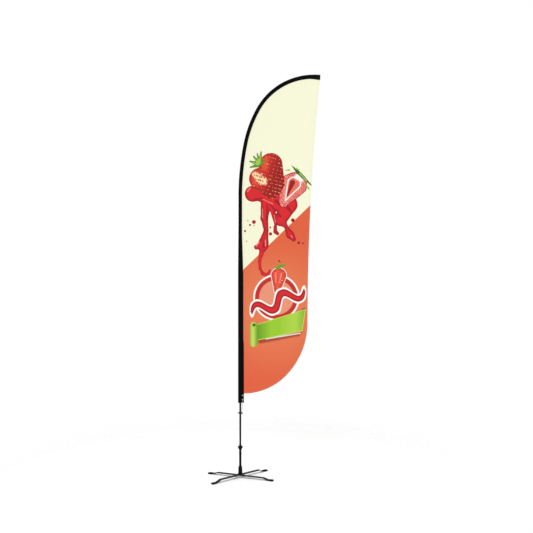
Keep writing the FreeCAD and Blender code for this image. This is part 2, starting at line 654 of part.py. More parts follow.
screw = turned("hook_clamp_screw", [
    (0, "-screwHeadHigh"), ("screwHead - 0.6", "-screwHeadHigh"), ("screwHead", "-screwHeadHigh / 2"),
    ("screwHead", 0), ("screwRadius", 0), ("screwRadius", "2 * earHalf + nutThick + 1"),
    (0, "2 * earHalf + nutThick + 1")])
place(screw, "screwX", "-earHalf", screwHeight, (1, 0, 0), -90)
nut = newBody("hook_clamp_nut")
nutCorner = "(nutFlats / 2 / cos(30))"
nutFace = newSketch(nut, "XY_Plane")
draw(nutFace, [(f"{nutCorner} * cos({60 * side})", f"{nutCorner} * sin({60 * side})") for side in range(6)])
disc(nutFace, 0, 0, "screwRadius")
pad(nut, nutFace, "nutThick")
place(nut, "screwX", "earHalf", screwHeight, (1, 0, 0), -90)

knot = turned("cord_knot", [
    (0, 0), ("knotRadius - 1", 0), ("knotRadius", "knotThick * 0.3"), ("knotRadius", "knotThick * 0.6"),
    ("knotRadius - 2", "knotThick"), (0, "knotThick")])
place(knot, "grommetX", f"{outside} + grommetLip", "grommetLow", (1, 0, 0), -90)
turned("cord_end_bead", [
    (0, "lugLow - beadHeight"), ("beadRadius - 1", "lugLow - beadHeight"),
    ("beadRadius", "lugLow - beadHeight + 1"), ("beadRadius", "lugLow - 1"),
    ("beadRadius - 1", "lugLow"), (0, "lugLow")])
place(nodes[-1], "lugX")

# The cord leaves the knot through the lower grommet, turns down in front of the seam and runs
# straight to the lug, through which it drops to the bead.
cord = doc.addObject("Part::Feature", "tension_cord")
cord.Label = "tension_cord"
nodes.append(cord)
route = [vector(value("grommetX"), value(f"{outside} + grommetLip"), value("grommetLow")),
         vector(value("grommetX"), value("cordFront"), value("grommetLow")),
         vector(value("lugX"), 0, value("lugLow + lugHeight + 12")),
         vector(value("lugX"), 0, value("lugLow"))]
edges, last = [], route[0]
for before, here, after in zip(route, route[1:], route[2:]):
    back, ahead = before - here, after - here
    turn = math.pi - back.getAngle(ahead)
    reach = 0.45 * min(back.Length, ahead.Length)
    back.normalize()
    ahead.normalize()
    radius = reach / math.tan(turn / 2)
    print("cord radius", round(radius, 2))
    enter, leave = here + back * reach, here + ahead * reach
    heart = here + (back + ahead).normalize() * (radius / math.cos(turn / 2))
    halfway = heart + (here - heart).normalize() * radius
    edges += [Part.LineSegment(last, enter).toShape(), Part.Arc(enter, halfway, leave).toShape()]
    last = leave
edges.append(Part.LineSegment(last, route[-1]).toShape())
path = Part.Wire(edges)
section = Part.Wire(Part.Circle(route[0], vector(0, 1, 0), value("cordRadius")).toShape())
cord.Shape = path.makePipeShell([section], True, True)
expected = math.pi * value("cordRadius") ** 2 * path.Length
print("cord length", round(path.Length, 1), "volume ratio", round(cord.Shape.Volume / expected, 4))

# ---------------------------------------------------------------- check and write
doc.recompute()
for feature in doc.Objects:
    assert not {"Invalid", "Error"} & set(feature.State), f"{feature.Label}: {feature.State}"
for node in nodes:
    assert not node.Shape.isNull() and node.Shape.isValid(), f"{node.Label}: bad shape"
for node in nodes:
    node.Shape.exportStep(f"parts/{node.Label}.step")
    print(f"{node.Label:26s} {len(node.Shape.Solids)} {node.Shape.Volume:12.1f}")
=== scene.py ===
import math

import bmesh
import bpy
import numpy as np
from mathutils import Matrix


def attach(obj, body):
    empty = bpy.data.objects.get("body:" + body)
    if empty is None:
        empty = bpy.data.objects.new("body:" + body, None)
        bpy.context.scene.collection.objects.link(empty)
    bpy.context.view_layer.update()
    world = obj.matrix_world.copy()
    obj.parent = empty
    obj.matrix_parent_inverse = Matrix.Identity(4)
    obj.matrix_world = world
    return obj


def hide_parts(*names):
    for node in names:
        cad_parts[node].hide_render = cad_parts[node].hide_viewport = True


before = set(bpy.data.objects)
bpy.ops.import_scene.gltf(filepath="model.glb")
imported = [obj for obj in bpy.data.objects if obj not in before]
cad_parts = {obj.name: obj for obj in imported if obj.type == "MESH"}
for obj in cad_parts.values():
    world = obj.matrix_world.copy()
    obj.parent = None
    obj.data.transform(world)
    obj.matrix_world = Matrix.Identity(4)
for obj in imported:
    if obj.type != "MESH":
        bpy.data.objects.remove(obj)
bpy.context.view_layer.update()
scene = bpy.context.scene

# Metres. The pole stands on Z, +X runs to the flag's free edge, -Y is the flag's front.

view = {"place": (0.221, -5.92, 1.777), "lens": 47.4, "sensor": 36.0, "farthest": 200}
room = {"sky": 0.74, "backdrop": 1.0}
lamps = {
    "frontLight": {"place": (-1.5, -6.5, 4.5), "aim": (0.2, 0, 1.6), "size": 4.0, "power": 124},
    "sideLight": {"place": (5.0, -3.0, 3.0), "aim": (0.2, 0, 1.2), "size": 3.0, "power": 50},
    "floorLamp": {"place": (-0.5, 0.7, 5.5), "aim": (0, 0, 0), "size": 0.8, "power": 170},
}


def makeCamera():
    lens = bpy.data.cameras.new("camera")
    lens.lens = view["lens"]
    lens.sensor_width = view["sensor"]
    lens.clip_end = view["farthest"]
    camera = bpy.data.objects.new("camera", lens)
    camera.location = view["place"]
    camera.rotation_euler = (math.pi / 2, 0, 0)
    scene.collection.objects.link(camera)
    scene.camera = camera


def areaLight(name):
    # a round lamp, turned from its place towards its aim
    plan = lamps[name]
    lamp = bpy.data.lights.new(name, "AREA")
    lamp.shape = "DISK"
    lamp.size = plan["size"]
    lamp.energy = plan["power"]
    holder = bpy.data.objects.new(name, lamp)
    holder.location = plan["place"]
    away = np.array(plan["aim"], float) - np.array(plan["place"], float)
    turn = math.atan2(away[0], -away[1])
    tilt = math.atan2(math.hypot(away[0], away[1]), -away[2])
    holder.rotation_euler = (tilt, 0, math.pi + turn)
    scene.collection.objects.link(holder)
    return holder


def makeLight():
    # a white room: the background behind the object is a little brighter than the light it gives
    world = bpy.data.worlds.new("studio")
    world.use_nodes = True
    tree = world.node_tree
    background = tree.nodes["Background"]
    background.inputs["Color"].default_value = (1, 1, 1, 1)
    path = tree.nodes.new("ShaderNodeLightPath")
    level = tree.nodes.new("ShaderNodeMapRange")
    level.inputs["To Min"].default_value = room["sky"]
    level.inputs["To Max"].default_value = room["backdrop"]
    tree.links.new(path.outputs["Is Camera Ray"], level.inputs["Value"])
    tree.links.new(level.outputs[0], background.inputs["Strength"])
    scene.world = world
    scene.view_settings.view_transform = "Standard"
    areaLight("frontLight")
    areaLight("sideLight")


makeCamera()
makeLight()
print("camera and light made")


class Wire:
    # one output of a node; arithmetic on wires adds Math nodes
    def __init__(self, paint, socket):
        self.paint = paint
        self.socket = socket

    def maths(self, operation, *others, clamp=False):
        settings = {"operation": operation, "use_clamp": clamp}
        return self.paint.node("ShaderNodeMath", settings, [self, *others])

    def __add__(self, other):
        return self.maths("ADD", other)

    def __sub__(self, other):
        return self.maths("SUBTRACT", other)

    def __rsub__(self, other):
        return self.paint.node("ShaderNodeMath", {"operation": "SUBTRACT"}, [other, self])

    def __mul__(self, other):
        return self.maths("MULTIPLY", other)

    def __truediv__(self, other):
        return self.maths("DIVIDE", other)

    def least(self, other):
        return self.maths("MINIMUM", other)

    def most(self, other):
        return self.maths("MAXIMUM", other)

    def melt(self, other, width):
        return self.maths("SMOOTH_MIN", other, width)

    def sine(self):
        return self.maths("SINE")

    def size(self):
        return self.maths("ABSOLUTE")

    __radd__ = __add__
    __rmul__ = __mul__


class Paint:
    def __init__(self, name, **fixed):
        self.material = bpy.data.materials.new(name)
        self.material.use_nodes = True
        self.tree = self.material.node_tree
        self.shader = self.tree.nodes["Principled BSDF"]
        for key, amount in fixed.items():
            self.shader.inputs[key.replace("_", " ")].default_value = amount
        self.place = self.node("ShaderNodeTexCoord", {}, [], "Object")
        split = self.node("ShaderNodeSeparateXYZ", {}, [self.place])
        self.x, self.y, self.z = (Wire(self, split.socket.node.outputs[axis]) for axis in "XYZ")

    def node(self, kind, settings, inputs, output=0):
        made = self.tree.nodes.new(kind)
        for key, amount in settings.items():
            setattr(made, key, amount)
        pairs = inputs.items() if isinstance(inputs, dict) else enumerate(inputs)
        for key, amount in pairs:
            if isinstance(amount, Wire):
                self.tree.links.new(amount.socket, made.inputs[key])
            else:
                made.inputs[key].default_value = amount
        return Wire(self, made.outputs[output])

    def vectors(self, operation, *inputs, output=0):
        return self.node("ShaderNodeVectorMath", {"operation": operation}, list(inputs), output)

    def noise(self, scale, detail=2.0, rough=0.5, place=None):
        inputs = {"Vector": place or self.place, "Scale": scale, "Detail": detail, "Roughness": rough}
        return self.node("ShaderNodeTexNoise", {}, inputs, "Fac")

    def mix(self, share, first, second):
        inputs = {0: share, 6: first, 7: second}
        return self.node("ShaderNodeMix", {"data_type": "RGBA", "clamp_factor": True}, inputs, 2)

    def spread(self, wire, low, high, start=0.0, end=1.0, smooth=False):
        # a value's stretch from low to high becomes start to end, and stays inside that
        style = "SMOOTHSTEP" if smooth else "LINEAR"
        inputs = {"Value": wire, "From Min": low, "From Max": high, "To Min": start, "To Max": end}
        return self.node("ShaderNodeMapRange", {"interpolation_type": style, "clamp": True}, inputs)

    def scaled(self, x, y, z):
        return self.vectors("MULTIPLY", self.place, (x, y, z))

    def over(self, base, distance, colour, soft=0.4):
        # colour where the distance is negative, base elsewhere, with an edge soft millimetres wide each way
        return self.mix(self.spread(distance, soft, -soft), base, colour)

    def finish(self, colour=None, roughness=None, bump=None, height=0.0005, strength=1.0):
        if colour is not None:
            self.join(colour, "Base Color")
        if roughness is not None:
            self.join(roughness, "Roughness")
        if bump is not None:
            inputs = {"Strength": strength, "Distance": height, "Height": bump}
            self.join(self.node("ShaderNodeBump", {}, inputs), "Normal")
        return self.material

    def join(self, wire, name):
        self.tree.links.new(wire.socket, self.shader.inputs[name])


def tint(red, green, blue):
    # a screen colour (0 to 255) as linear light
    parts = np.array([red, green, blue]) / 255
    linear = np.where(parts <= 0.04045, parts / 12.92, ((parts + 0.055) / 1.055) ** 2.4)
    return (*linear.tolist(), 1.0)


bend = {"start": 2.3719, "radii": (2.2535, 1.020, 0.5345), "turns": (11.1, 17.7, 63.9), "straight": 0.029}
bendLengths = [radius * math.radians(turn) for radius, turn in zip(bend["radii"], bend["turns"])]
poleEnd = bend["start"] + sum(bendLengths) + bend["straight"]


def poleLine(distance, offset=0.0):
    # the line starts straight up, then turns right along three tangent arcs and ends straight;
    # distance is measured along it from the floor and offset is sideways, towards the flag
    distance = np.asarray(distance, float)
    x, z, heading, begun = 0.0, 0.0, 0.0, 0.0
    px, pz, aim = np.zeros_like(distance), distance.copy(), np.zeros_like(distance)
    steps = [(bend["start"], None), *zip(bendLengths, bend["radii"]), (1.0, None)]
    for length, radius in steps:
        inside = distance >= begun
        step = distance - begun
        if radius:
            angle = heading + step / radius
            newX = x + radius * (math.cos(heading) - np.cos(angle))
            newZ = z + radius * (np.sin(angle) - math.sin(heading))
        else:
            angle = heading + 0 * step
            newX = x + step * math.sin(heading)
            newZ = z + step * math.cos(heading)
        px, pz, aim = (np.where(inside, new, old) for new, old in ((newX, px), (newZ, pz), (angle, aim)))
        last = heading + (length / radius if radius else 0)
        x += radius * (math.cos(heading) - math.cos(last)) if radius else length * math.sin(heading)
        z += radius * (math.sin(last) - math.sin(heading)) if radius else length * math.cos(heading)
        heading, begun = last, begun + length
    return px + offset * np.cos(aim), pz - offset * np.sin(aim), aim


def newPiece(name, points, faces, material, corners=None, closed=True):
    # a mesh from points and faces; corners holds a pair of surface lengths (UV) for each face corner
    mesh = bpy.data.meshes.new(name)
    mesh.from_pydata(np.asarray(points).reshape(-1, 3).tolist(), [], faces)
    mesh.polygons.foreach_set("use_smooth", np.ones(len(mesh.polygons), bool))
    if corners is not None:
        mesh.uv_layers.new(name="surface").data.foreach_set("uv", np.asarray(corners, float).ravel())
    if closed:
        shell = bmesh.new()
        shell.from_mesh(mesh)
        bmesh.ops.recalc_face_normals(shell, faces=shell.faces)
        shell.to_mesh(mesh)
        shell.free()
    mesh.materials.append(material)
    mesh.update()
    piece = bpy.data.objects.new(name, mesh)
    scene.collection.objects.link(piece)
    return piece


def gridFaces(rows, columns, closeColumns=False):
    # quads between neighbouring rows and columns of a grid of points, and each corner's row and column
    across = columns if closeColumns else columns - 1
    row, column = np.meshgrid(np.arange(rows - 1), np.arange(across), indexing="ij")
    rowOf = np.stack([row, row, row + 1, row + 1], axis=-1).reshape(-1, 4)
    columnOf = np.stack([column, column + 1, column + 1, column], axis=-1).reshape(-1, 4)
    return rowOf * columns + columnOf % columns, rowOf, columnOf


def skin(name, rings, material, along, around):
    # a closed skin over rings of points: along is each ring's length, around the point's, for the weave
    rows, columns = rings.shape[:2]
    faces, rowOf, columnOf = gridFaces(rows, columns, closeColumns=True)
    around = np.append(around, 2 * around[-1] - around[-2])
    sides = np.stack([np.asarray(along)[rowOf], around[columnOf]], axis=-1).reshape(-1, 2)
    ends = [list(range(columns))[::-1], list(range((rows - 1) * columns, rows * columns))]
    endCorners = np.concatenate([rings[0][::-1, [2, 1]], rings[-1][:, [2, 1]]])
    return newPiece(name, rings, faces.tolist() + ends, material, np.concatenate([sides, endCorners]))


def roundTube(name, path, radius, material, sides=10):
    # a round tube along a path: rings stand square to the path's direction
    path = np.asarray(path, float)
    ahead = np.gradient(path, axis=0)
    ahead /= np.linalg.norm(ahead, axis=1, keepdims=True)
    helper = np.array([0.31, 0.23, 0.92])  # a direction that no path here takes
    side = np.cross(ahead, helper)
    side /= np.linalg.norm(side, axis=1, keepdims=True)
    up = np.cross(ahead, side)
    angle = np.linspace(0, 2 * math.pi, sides, endpoint=False)
    radius = np.broadcast_to(radius, len(path))[:, None, None]
    circle = side[:, None] * np.cos(angle)[:, None] + up[:, None] * np.sin(angle)[:, None]
    rings = path[:, None] + radius * circle
    along = np.concatenate([[0], np.cumsum(np.linalg.norm(np.diff(path, axis=0), axis=1))])
    return skin(name, rings, material, along, angle * float(radius.mean()))


def stitches(name, centres, ahead, out, material, length=0.004, radius=0.0004):
    # a row of short threads: each swells in the middle and sinks into the cloth at its ends
    ahead = ahead / np.linalg.norm(ahead, axis=1, keepdims=True)
    side = np.cross(ahead, out)
    step = np.array([-1, -0.75, 0.0, 0.75, 1]) * length / 2
    girth = np.array([0.35, 0.85, 1.0, 0.85, 0.35]) * radius
    rise = np.array([-0.6, 0.35, 0.6, 0.35, -0.6]) * radius
    rings, sides = len(step), 5
    angle = np.linspace(0, 2 * math.pi, sides, endpoint=False)
    flat = centres[:, None, None] + ahead[:, None, None] * step[None, :, None, None]
    flat = flat + side[:, None, None] * (girth[:, None] * np.cos(angle))[None, :, :, None]
    points = flat + out[:, None, None] * (girth[:, None] * np.sin(angle) + rise[:, None])[None, :, :, None]
    quads = gridFaces(rings, sides, closeColumns=True)[0]
    first = np.arange(len(centres))[:, None, None] * rings * sides
    ends = np.stack([np.arange(sides)[::-1], np.arange(sides) + (rings - 1) * sides])
    faces = (first + quads).reshape(-1, 4).tolist() + (first + ends).reshape(-1, sides).tolist()
    return newPiece(name, points, faces, material)


def hang(piece, node=None):
    # the piece moves with the pole; node is the CAD node it stands for
    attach(piece, "pole")
    if node:
        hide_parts(node)


print("helpers ready")

powder = {"dark": tint(7, 7, 8), "dust": tint(50, 48, 45), "peel": 1300}


def powderCoat():
    # baked black powder: orange peel, cloudy gloss and a little dust near the floor
    paint = Paint("powderCoat", Specular_IOR_Level=0.1)
    cloud = paint.noise(38, 4, 0.6)
    dust = paint.spread(cloud, 0.48, 0.72) * paint.spread(paint.z, 0.04, 0.0, 0.0, 0.3)
    colour = paint.mix(dust, powder["dark"], powder["dust"])
    roughness = paint.spread(cloud, 0.3, 0.7, 0.36, 0.54)
    return paint.finish(colour, roughness, paint.noise(powder["peel"], 3, 0.55), 0.00015, 0.35)


def rubber():
    # moulded rubber: matt, slightly dusty, with a fine grain
    paint = Paint("rubber", Specular_IOR_Level=0.1)
    cloud = paint.noise(90, 4, 0.65)
    colour = paint.mix(paint.spread(cloud, 0.35, 0.8), tint(9, 9, 10), tint(30, 29, 28))
    rough = paint.spread(cloud, 0.3, 0.7, 0.62, 0.85)
    return paint.finish(colour, rough, paint.noise(3200, 2, 0.6), 0.0001, 0.4)


def moulded(name, first, second, roughness):
    # injection-moulded plastic with a spark-eroded texture
    paint = Paint(name, Specular_IOR_Level=0.3)
    cloud = paint.noise(60, 3, 0.6)
    grain = paint.noise(5200, 2, 0.7)
    colour = paint.mix(cloud, first, second)
    rough = paint.spread(cloud, 0.3, 0.7, roughness - 0.06, roughness + 0.08)
    return paint.finish(colour, rough, grain, 0.00008, 0.3)


def plated(name, first, second, roughness, lathe=(900, 900, 900)):
    # plated or polished metal: cloudy colour, and fine lines where lathe stretches the noise
    paint = Paint(name, Metallic=1.0)
    cloud = paint.noise(140, 4, 0.6)
    lines = paint.noise(1.0, 3, 0.6, paint.scaled(*lathe))
    colour = paint.mix(paint.spread(cloud, 0.3, 0.7), first, second)
    rough = paint.spread(lines * 0.5 + cloud * 0.5, 0.3, 0.7, roughness * 0.7, roughness * 1.4)
    return paint.finish(colour, rough, lines, 0.00003, 0.4)


def drawnTube():
    # black anodised tube: fine lines along its length and a few pale rubbed streaks
    paint = Paint("drawnTube", Metallic=0.0, Specular_IOR_Level=0.12)
    lines = paint.noise(1.0, 4, 0.65, paint.scaled(2600, 2600, 9))
    rubbed = paint.noise(1.0, 4, 0.6, paint.scaled(420, 420, 16))
    colour = paint.mix(paint.spread(rubbed, 0.56, 0.8, 0.0, 0.3), tint(6, 6, 7), tint(46, 46, 50))
    return paint.finish(colour, paint.spread(lines, 0.3, 0.7, 0.26, 0.42), lines, 0.00004, 0.5)


def fibreRod():
    # pultruded rod: black resin over straight glass fibres
    paint = Paint("fibreRod", Coat_Weight=0.4, Coat_Roughness=0.15)
    fibres = paint.noise(1.0, 3, 0.6, paint.scaled(5200, 5200, 40))
    colour = paint.mix(paint.spread(fibres, 0.45, 0.8), tint(20, 20, 21), tint(52, 50, 47))
    return paint.finish(colour, paint.spread(fibres, 0.3, 0.7, 0.35, 0.5), fibres, 0.00005, 0.5)


def wovenCloth(name, dark, pale, pitch, roughness, height):
    # plain weave from the surface lengths: warp and weft rise in turn, a product of two sines
    paint = Paint(name, Specular_IOR_Level=0.05)
    lengths = paint.node("ShaderNodeUVMap", {"uv_map": "surface"}, [])
    split = paint.node("ShaderNodeSeparateXYZ", {}, [lengths])
    along, around = split, Wire(paint, split.socket.node.outputs["Y"])
    wave = 2 * math.pi / pitch
    weave = (along * wave).sine() * (around * wave).sine()
    cloud = paint.noise(26, 4, 0.6)
    lint = paint.spread(paint.noise(900, 3, 0.7), 0.66, 0.8)
    share = paint.spread(weave, -1, 1, 0.0, 0.5) + cloud * 0.25 + lint * 0.25
    colour = paint.mix(share, dark, pale)
    rough = paint.spread(weave * 0.3 + cloud, 0.2, 0.9, roughness - 0.1, roughness + 0.1)
    return paint.finish(colour, rough, weave, height, 0.6)


strap = {"rib": 0.0016, "thread": 0.0009}


def webbing():
    # ribbed strap: the sum of two sines, rounded ribs across its width and a fine thread along them
    paint = Paint("webbing", Specular_IOR_Level=0.07)
    ribs = (paint.z * (2 * math.pi / strap["rib"])).sine()
    threads = (paint.x * (2 * math.pi / strap["thread"])).sine()
    pattern = ribs * 0.7 + threads * 0.3
    colour = paint.mix(paint.spread(pattern, -1, 1), tint(4, 4, 5), tint(22, 22, 24))
    return paint.finish(colour, paint.spread(paint.noise(70), 0.3, 0.7, 0.6, 0.8), pattern, 0.0002, 0.7)


strandPitch = 0.0005


def threadPaint(name, first, second):
    # twisted thread: slanting strands, a sine of the sum of the three lengths
    paint = Paint(name, Specular_IOR_Level=0.08)
    strands = ((paint.z + paint.x + paint.y) * (2 * math.pi / strandPitch)).sine()
    colour = paint.mix(paint.spread(strands, -1, 1), first, second)
    return paint.finish(colour, paint.spread(paint.noise(400), 0.3, 0.7, 0.5, 0.75), strands, 0.0001, 0.5)


cordPaint = {"pale": tint(196, 198, 199), "dark": tint(120, 122, 126), "pitch": 0.0022}


def braid():
    # two families of slanting strands that cross, as on a braided cover
    paint = Paint("braid", Specular_IOR_Level=0.3, Sheen_Weight=0.2)
    level = paint.x + paint.y
    wave = 2 * math.pi / cordPaint["pitch"]
    strands = ((paint.z + level) * wave).sine() * ((paint.z - level) * wave).sine()
    fleck = paint.spread(paint.noise(700, 2, 0.6), 0.6, 0.7)
    share = paint.spread(strands, -1, 1, 0.0, 0.8) + fleck * 0.2
    colour = paint.mix(share, cordPaint["dark"], cordPaint["pale"])
    return paint.finish(colour, paint.spread(paint.noise(300), 0.3, 0.7, 0.6, 0.8), strands, 0.0003, 0.7)


sharedPaint = {
    "powder": powderCoat(), "rubber": rubber(), "tube": drawnTube(), "rod": fibreRod(), "braid": braid(),
    "zinc": plated("zincPlate", tint(196, 199, 204), tint(160, 164, 172), 0.3),
    "bearing": plated("bearingSteel", tint(214, 214, 216), tint(188, 188, 192), 0.14, (40, 40, 7000)),
    "turned": plated("turnedAlloy", tint(150, 151, 154), tint(118, 119, 123), 0.32, (30, 30, 8000)),
    "nickel": plated("nickelPlate", tint(240, 238, 232), tint(216, 213, 206), 0.3),
    "cage": moulded("cagePlastic", tint(176, 138, 84), tint(150, 112, 62), 0.45),
    "whiteNylon": moulded("whiteNylon", tint(226, 224, 216), tint(206, 203, 192), 0.5),
    "plastic": moulded("blackPlastic", tint(11, 11, 12), tint(22, 22, 24), 0.42),
    "sleeve": wovenCloth("sleeveCloth", tint(3, 3, 4), tint(17, 17, 19), 0.0011, 0.8, 0.00022),
    "webbing": webbing(),
    "blackThread": threadPaint("blackThread", tint(6, 6, 7), tint(24, 24, 26)),
    "paleThread": threadPaint("paleThread", tint(226, 220, 196), tint(250, 247, 232)),
}

nodePaint = {
    "powder": ("lower_cross_bar", "upper_cross_bar", "hub_housing", "stop_collar", "spindle"),
    "rubber": ("lower_foot_caps", "upper_foot_caps", "hub_dust_seal", "pole_foot_cap", "pole_tip_cap"),
    "zinc": ("pivot_bolt", "spindle_circlip", "hook_clamp_screw", "hook_clamp_nut"),
    "whiteNylon": ("friction_disc", "pivot_washer"),
    "plastic": ("hub_foot_plug", "cord_hook_clip", "cord_end_bead"),
    "bearing": ("lower_bearing_outer_ring", "lower_bearing_inner_ring", "lower_bearing_balls",
                "upper_bearing_outer_ring", "upper_bearing_inner_ring", "upper_bearing_balls"),
    "cage": ("lower_bearing_cage", "upper_bearing_cage"),
    "tube": ("pole_section_1", "pole_section_2", "pole_section_3"),
    "rod": ("pole_section_4",),
    "turned": ("ferrule_1", "ferrule_2", "ferrule_3", "bearing_spacer"),
    "nickel": ("sleeve_grommets",),
}


def paintNodes():
    for key, names in nodePaint.items():
        for name in names:
            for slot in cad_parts[name].material_slots:
                slot.material = sharedPaint[key]


paintNodes()
print("frame painted")

cord = {
    "route": ((0.020, 0.0022, 0.654), (0.020, -0.0055, 0.654), (0.015, 0, 0.558), (0.015, 0, 0.538)),
    "diameter": 0.003, "length": 0.1225,
    "knot": {"centre": (0.020, 0.0047, 0.654), "loop": 0.00105, "rise": 0.0010, "radius": 0.00135},
}


def makeCord():
    # the cord is one smooth spline through the eyelet; a knot behind it and a bead below hold its ends
    line = bpy.data.curves.new("tensionCord", "CURVE")
    line.dimensions = "3D"
    spline = line.splines.new("NURBS")
    spline.points.add(len(cord["route"]) - 1)
    for point, place in zip(spline.points, cord["route"]):
        point.co = (*place, 1)
    spline.order_u = 3
    spline.use_endpoint_u = True
    spline.resolution_u = 24
    line.bevel_depth = cord["diameter"] / 2
    line.bevel_resolution = 5
    line.use_fill_caps = True
    line.materials.append(sharedPaint["braid"])
    piece = bpy.data.objects.new("tensionCord", line)
    scene.collection.objects.link(piece)
    knot = makeKnot()
    for part, node in ((piece, "tension_cord"), (knot, "cord_knot")):
        hang(part, node)


def makeKnot():
    # an overhand knot: a trefoil, x = sin t + 2 sin 2t, z = cos t - 2 cos 2t, depth = sin 3t
    knot = cord["knot"]
    turn = np.linspace(0, 2 * math.pi, 121)
    x = knot["centre"][0] + knot["loop"] * (np.sin(turn) + 2 * np.sin(2 * turn))
    z = knot["centre"][2] + knot["loop"] * (np.cos(turn) - 2 * np.cos(2 * turn))
    y = knot["centre"][1] + knot["rise"] * np.sin(3 * turn)
    return roundTube("cordKnot", np.stack([x, y, z], axis=-1), knot["radius"], sharedPaint["braid"], 12)


makeCord()
print("cord made")

sleeve = {
    "start": 0.628, "half": 0.0105, "centre": -0.0035, "web": 0.0007, "wall": 0.0007,
    "turn": 0.016, "turnAtTab": 0.0135, "tabTo": 0.72, "turnOver": 0.08, "webShare": 0.0012, "rows": 540,
    "hem": 0.024, "hemRise": 0.0004, "round": 0.075, "past": 0.0012, "thinnest": 0.00025, "power": 1.15,
    "waves": ((0.022, 33, 0, 1.3), (0.016, 71, 90, 0.0)),
    "crease": {"after": 0.3, "height": 0.03, "along": 290, "across": 210, "side": 0.02},
    "leftAt": (1.75, 2.15, 3.2, 3.66), "leftReach": (0.0188, 0.0155, 0.0155, 0.0175),
    "at": (0.628, 1.10, 1.17, 1.71, 2.06, 2.27, 2.6, 3.2, 3.66, 3.74),
    "reach": (0.031, 0.030, 0.026, 0.025, 0.0145, 0.0145, 0.0155, 0.016, 0.018, 0.025),
}


def seamReach(distance):
    # how far the black web runs from the pole's line to the seam
    return np.interp(distance, sleeve["at"], sleeve["reach"])


def leftReach(distance):
    # how far the round part runs from the pole's line to its left edge
    return np.interp(distance, sleeve["leftAt"], sleeve["leftReach"])


def dropEdge(distance):
    # where the sleeve's round part has run out into its flat web
    share = np.clip((np.asarray(distance) - sleeve["tabTo"]) / sleeve["turnOver"], 0, 1)
    wide = sleeve["turnAtTab"] + (sleeve["turn"] - sleeve["turnAtTab"]) * share
    return np.minimum(wide, seamReach(distance) - sleeve["webShare"])


def sleeveHalf(distance, across):
    # half thickness: an ellipse on the pole's left, on its right (1 - w squared) to the power 1.15, which
    # runs out into the flat web; slow waves along it, and slanting creases inside the bend
    centre, drop = sleeve["centre"], dropEdge(distance)
    left = np.sqrt(np.clip(1 - ((across - centre) / (leftReach(distance) + centre)) ** 2, 0, 1))
    right = np.clip(1 - ((across - centre) / (drop - centre)) ** 2, 0, 1) ** sleeve["power"]
    shape = np.where(across < centre, left, right)
    slow = 0
    for height, along, aside, begun in sleeve["waves"]:
        slow = slow + height * np.sin(distance * along + across * aside + begun)
    fold = sleeve["crease"]
    bent = np.clip((distance - bend["start"]) / fold["after"], 0, 1)
    crease = bent * fold["height"] * np.sin(distance * fold["along"] + across * fold["across"])
    crease = crease * np.clip(0.5 + across / fold["side"], 0, 1)
    band = sleeve["hemRise"] * (distance < sleeve["start"] + sleeve["hem"])
    return sleeve["web"] + (sleeve["half"] - sleeve["web"]) * shape * (1 + slow + crease) + band


def acrossSteps(distance):
    # places across the sleeve, from its left edge over the ellipse and the drop shape to the seam
    centre, drop, reach = sleeve["centre"], dropEdge(distance), seamReach(distance)
    angle = np.linspace(0, math.pi / 2, 13)[:-1]
    left = centre - (leftReach(distance)[:, None] + centre) * np.cos(angle)[None]
    right = centre + (drop - centre)[:, None] * np.linspace(0, 1, 14)[None, :-1]
    web = drop[:, None] + (reach - drop)[:, None] * np.linspace(0, 1, 6)[None]
    return np.concatenate([left, right, web], axis=1)


def sleeveRings(distance, inward, squash, grow=0.0):
    # the front half runs from left to right at -y and the back half returns at +y
    steps = acrossSteps(distance)
    half = np.maximum(sleeveHalf(distance[:, None], steps) - inward[:, None], sleeve["thinnest"])
    half = half * squash[:, None] + grow
    steps = np.where(steps < 0, steps - grow, steps + grow)
    steps = sleeve["centre"] + (steps - sleeve["centre"]) * (1 - inward[:, None] * 60)
    x, z, _ = poleLine(distance[:, None] + 0 * steps, steps)
    front = np.stack([x, -half, z], axis=-1)
    back = np.stack([x, half, z], axis=-1)
    return np.concatenate([front, back[:, ::-1]], axis=1)


def makeSleeve():
    # the cloth turns in at the mouth, where the first three rings run back inside, and closes past the tip
    start, end = sleeve["start"], poleEnd + sleeve["past"]
    body = np.linspace(start, end - 0.002, sleeve["rows"])
    inside, closing = [start + 0.03, start + 0.012, start + 0.0008], [end - 0.001, end - 0.0003, end]
    distance = np.concatenate([inside, body, closing])
    inward = np.concatenate([[sleeve["wall"]] * 3, 0 * body, [0, 0, 0]])
    squash = np.concatenate([[1.0] * 3, 0 * body + 1, [0.9, 0.7, 0.3]])
    rings = sleeveRings(distance, inward, squash)
    around = np.linspace(0, sleeve["round"], rings.shape[1])
    piece = skin("poleSleeve", rings, sharedPaint["sleeve"], distance, around)
    hang(piece, "pole_sleeve")
    return piece


poleSleeve = makeSleeve()
print("sleeve sewn")

patch = {"long": 0.046, "grow": 0.0007, "past": 0.0030, "round": 0.08, "rows": 30,
         "stitchAt": (0.040, 0.0075)}


def makePatch():
    # a reinforcing patch folded over the sleeve's closed end: the sleeve's own section, grown outwards
    start = poleEnd - patch["long"]
    end = poleEnd + patch["past"]
    body = np.linspace(start + 0.0006, end - 0.0015, patch["rows"])
    distance = np.concatenate([[start], body, [end - 0.0006, end]])
    squash = np.concatenate([[0.97], 0 * body + 1, [0.85, 0.5]])
    rings = sleeveRings(distance, 0 * distance, squash, patch["grow"])
    around = np.linspace(0, patch["round"], rings.shape[1])
    piece = skin("tipPatch", rings, sharedPaint["webbing"], distance, around)
    hang(piece, "sleeve_tip_pocket")


makePatch()

tab = {"x": (0.0136, 0.0270), "z": (0.640, 0.702), "half": 0.0016, "sides": 40, "rows": 42, "closing": 0.0006,
       "powers": (0.35, 0.5), "ends": (0.96, 0.72), "ripple": (0.03, 520), "round": 0.003}


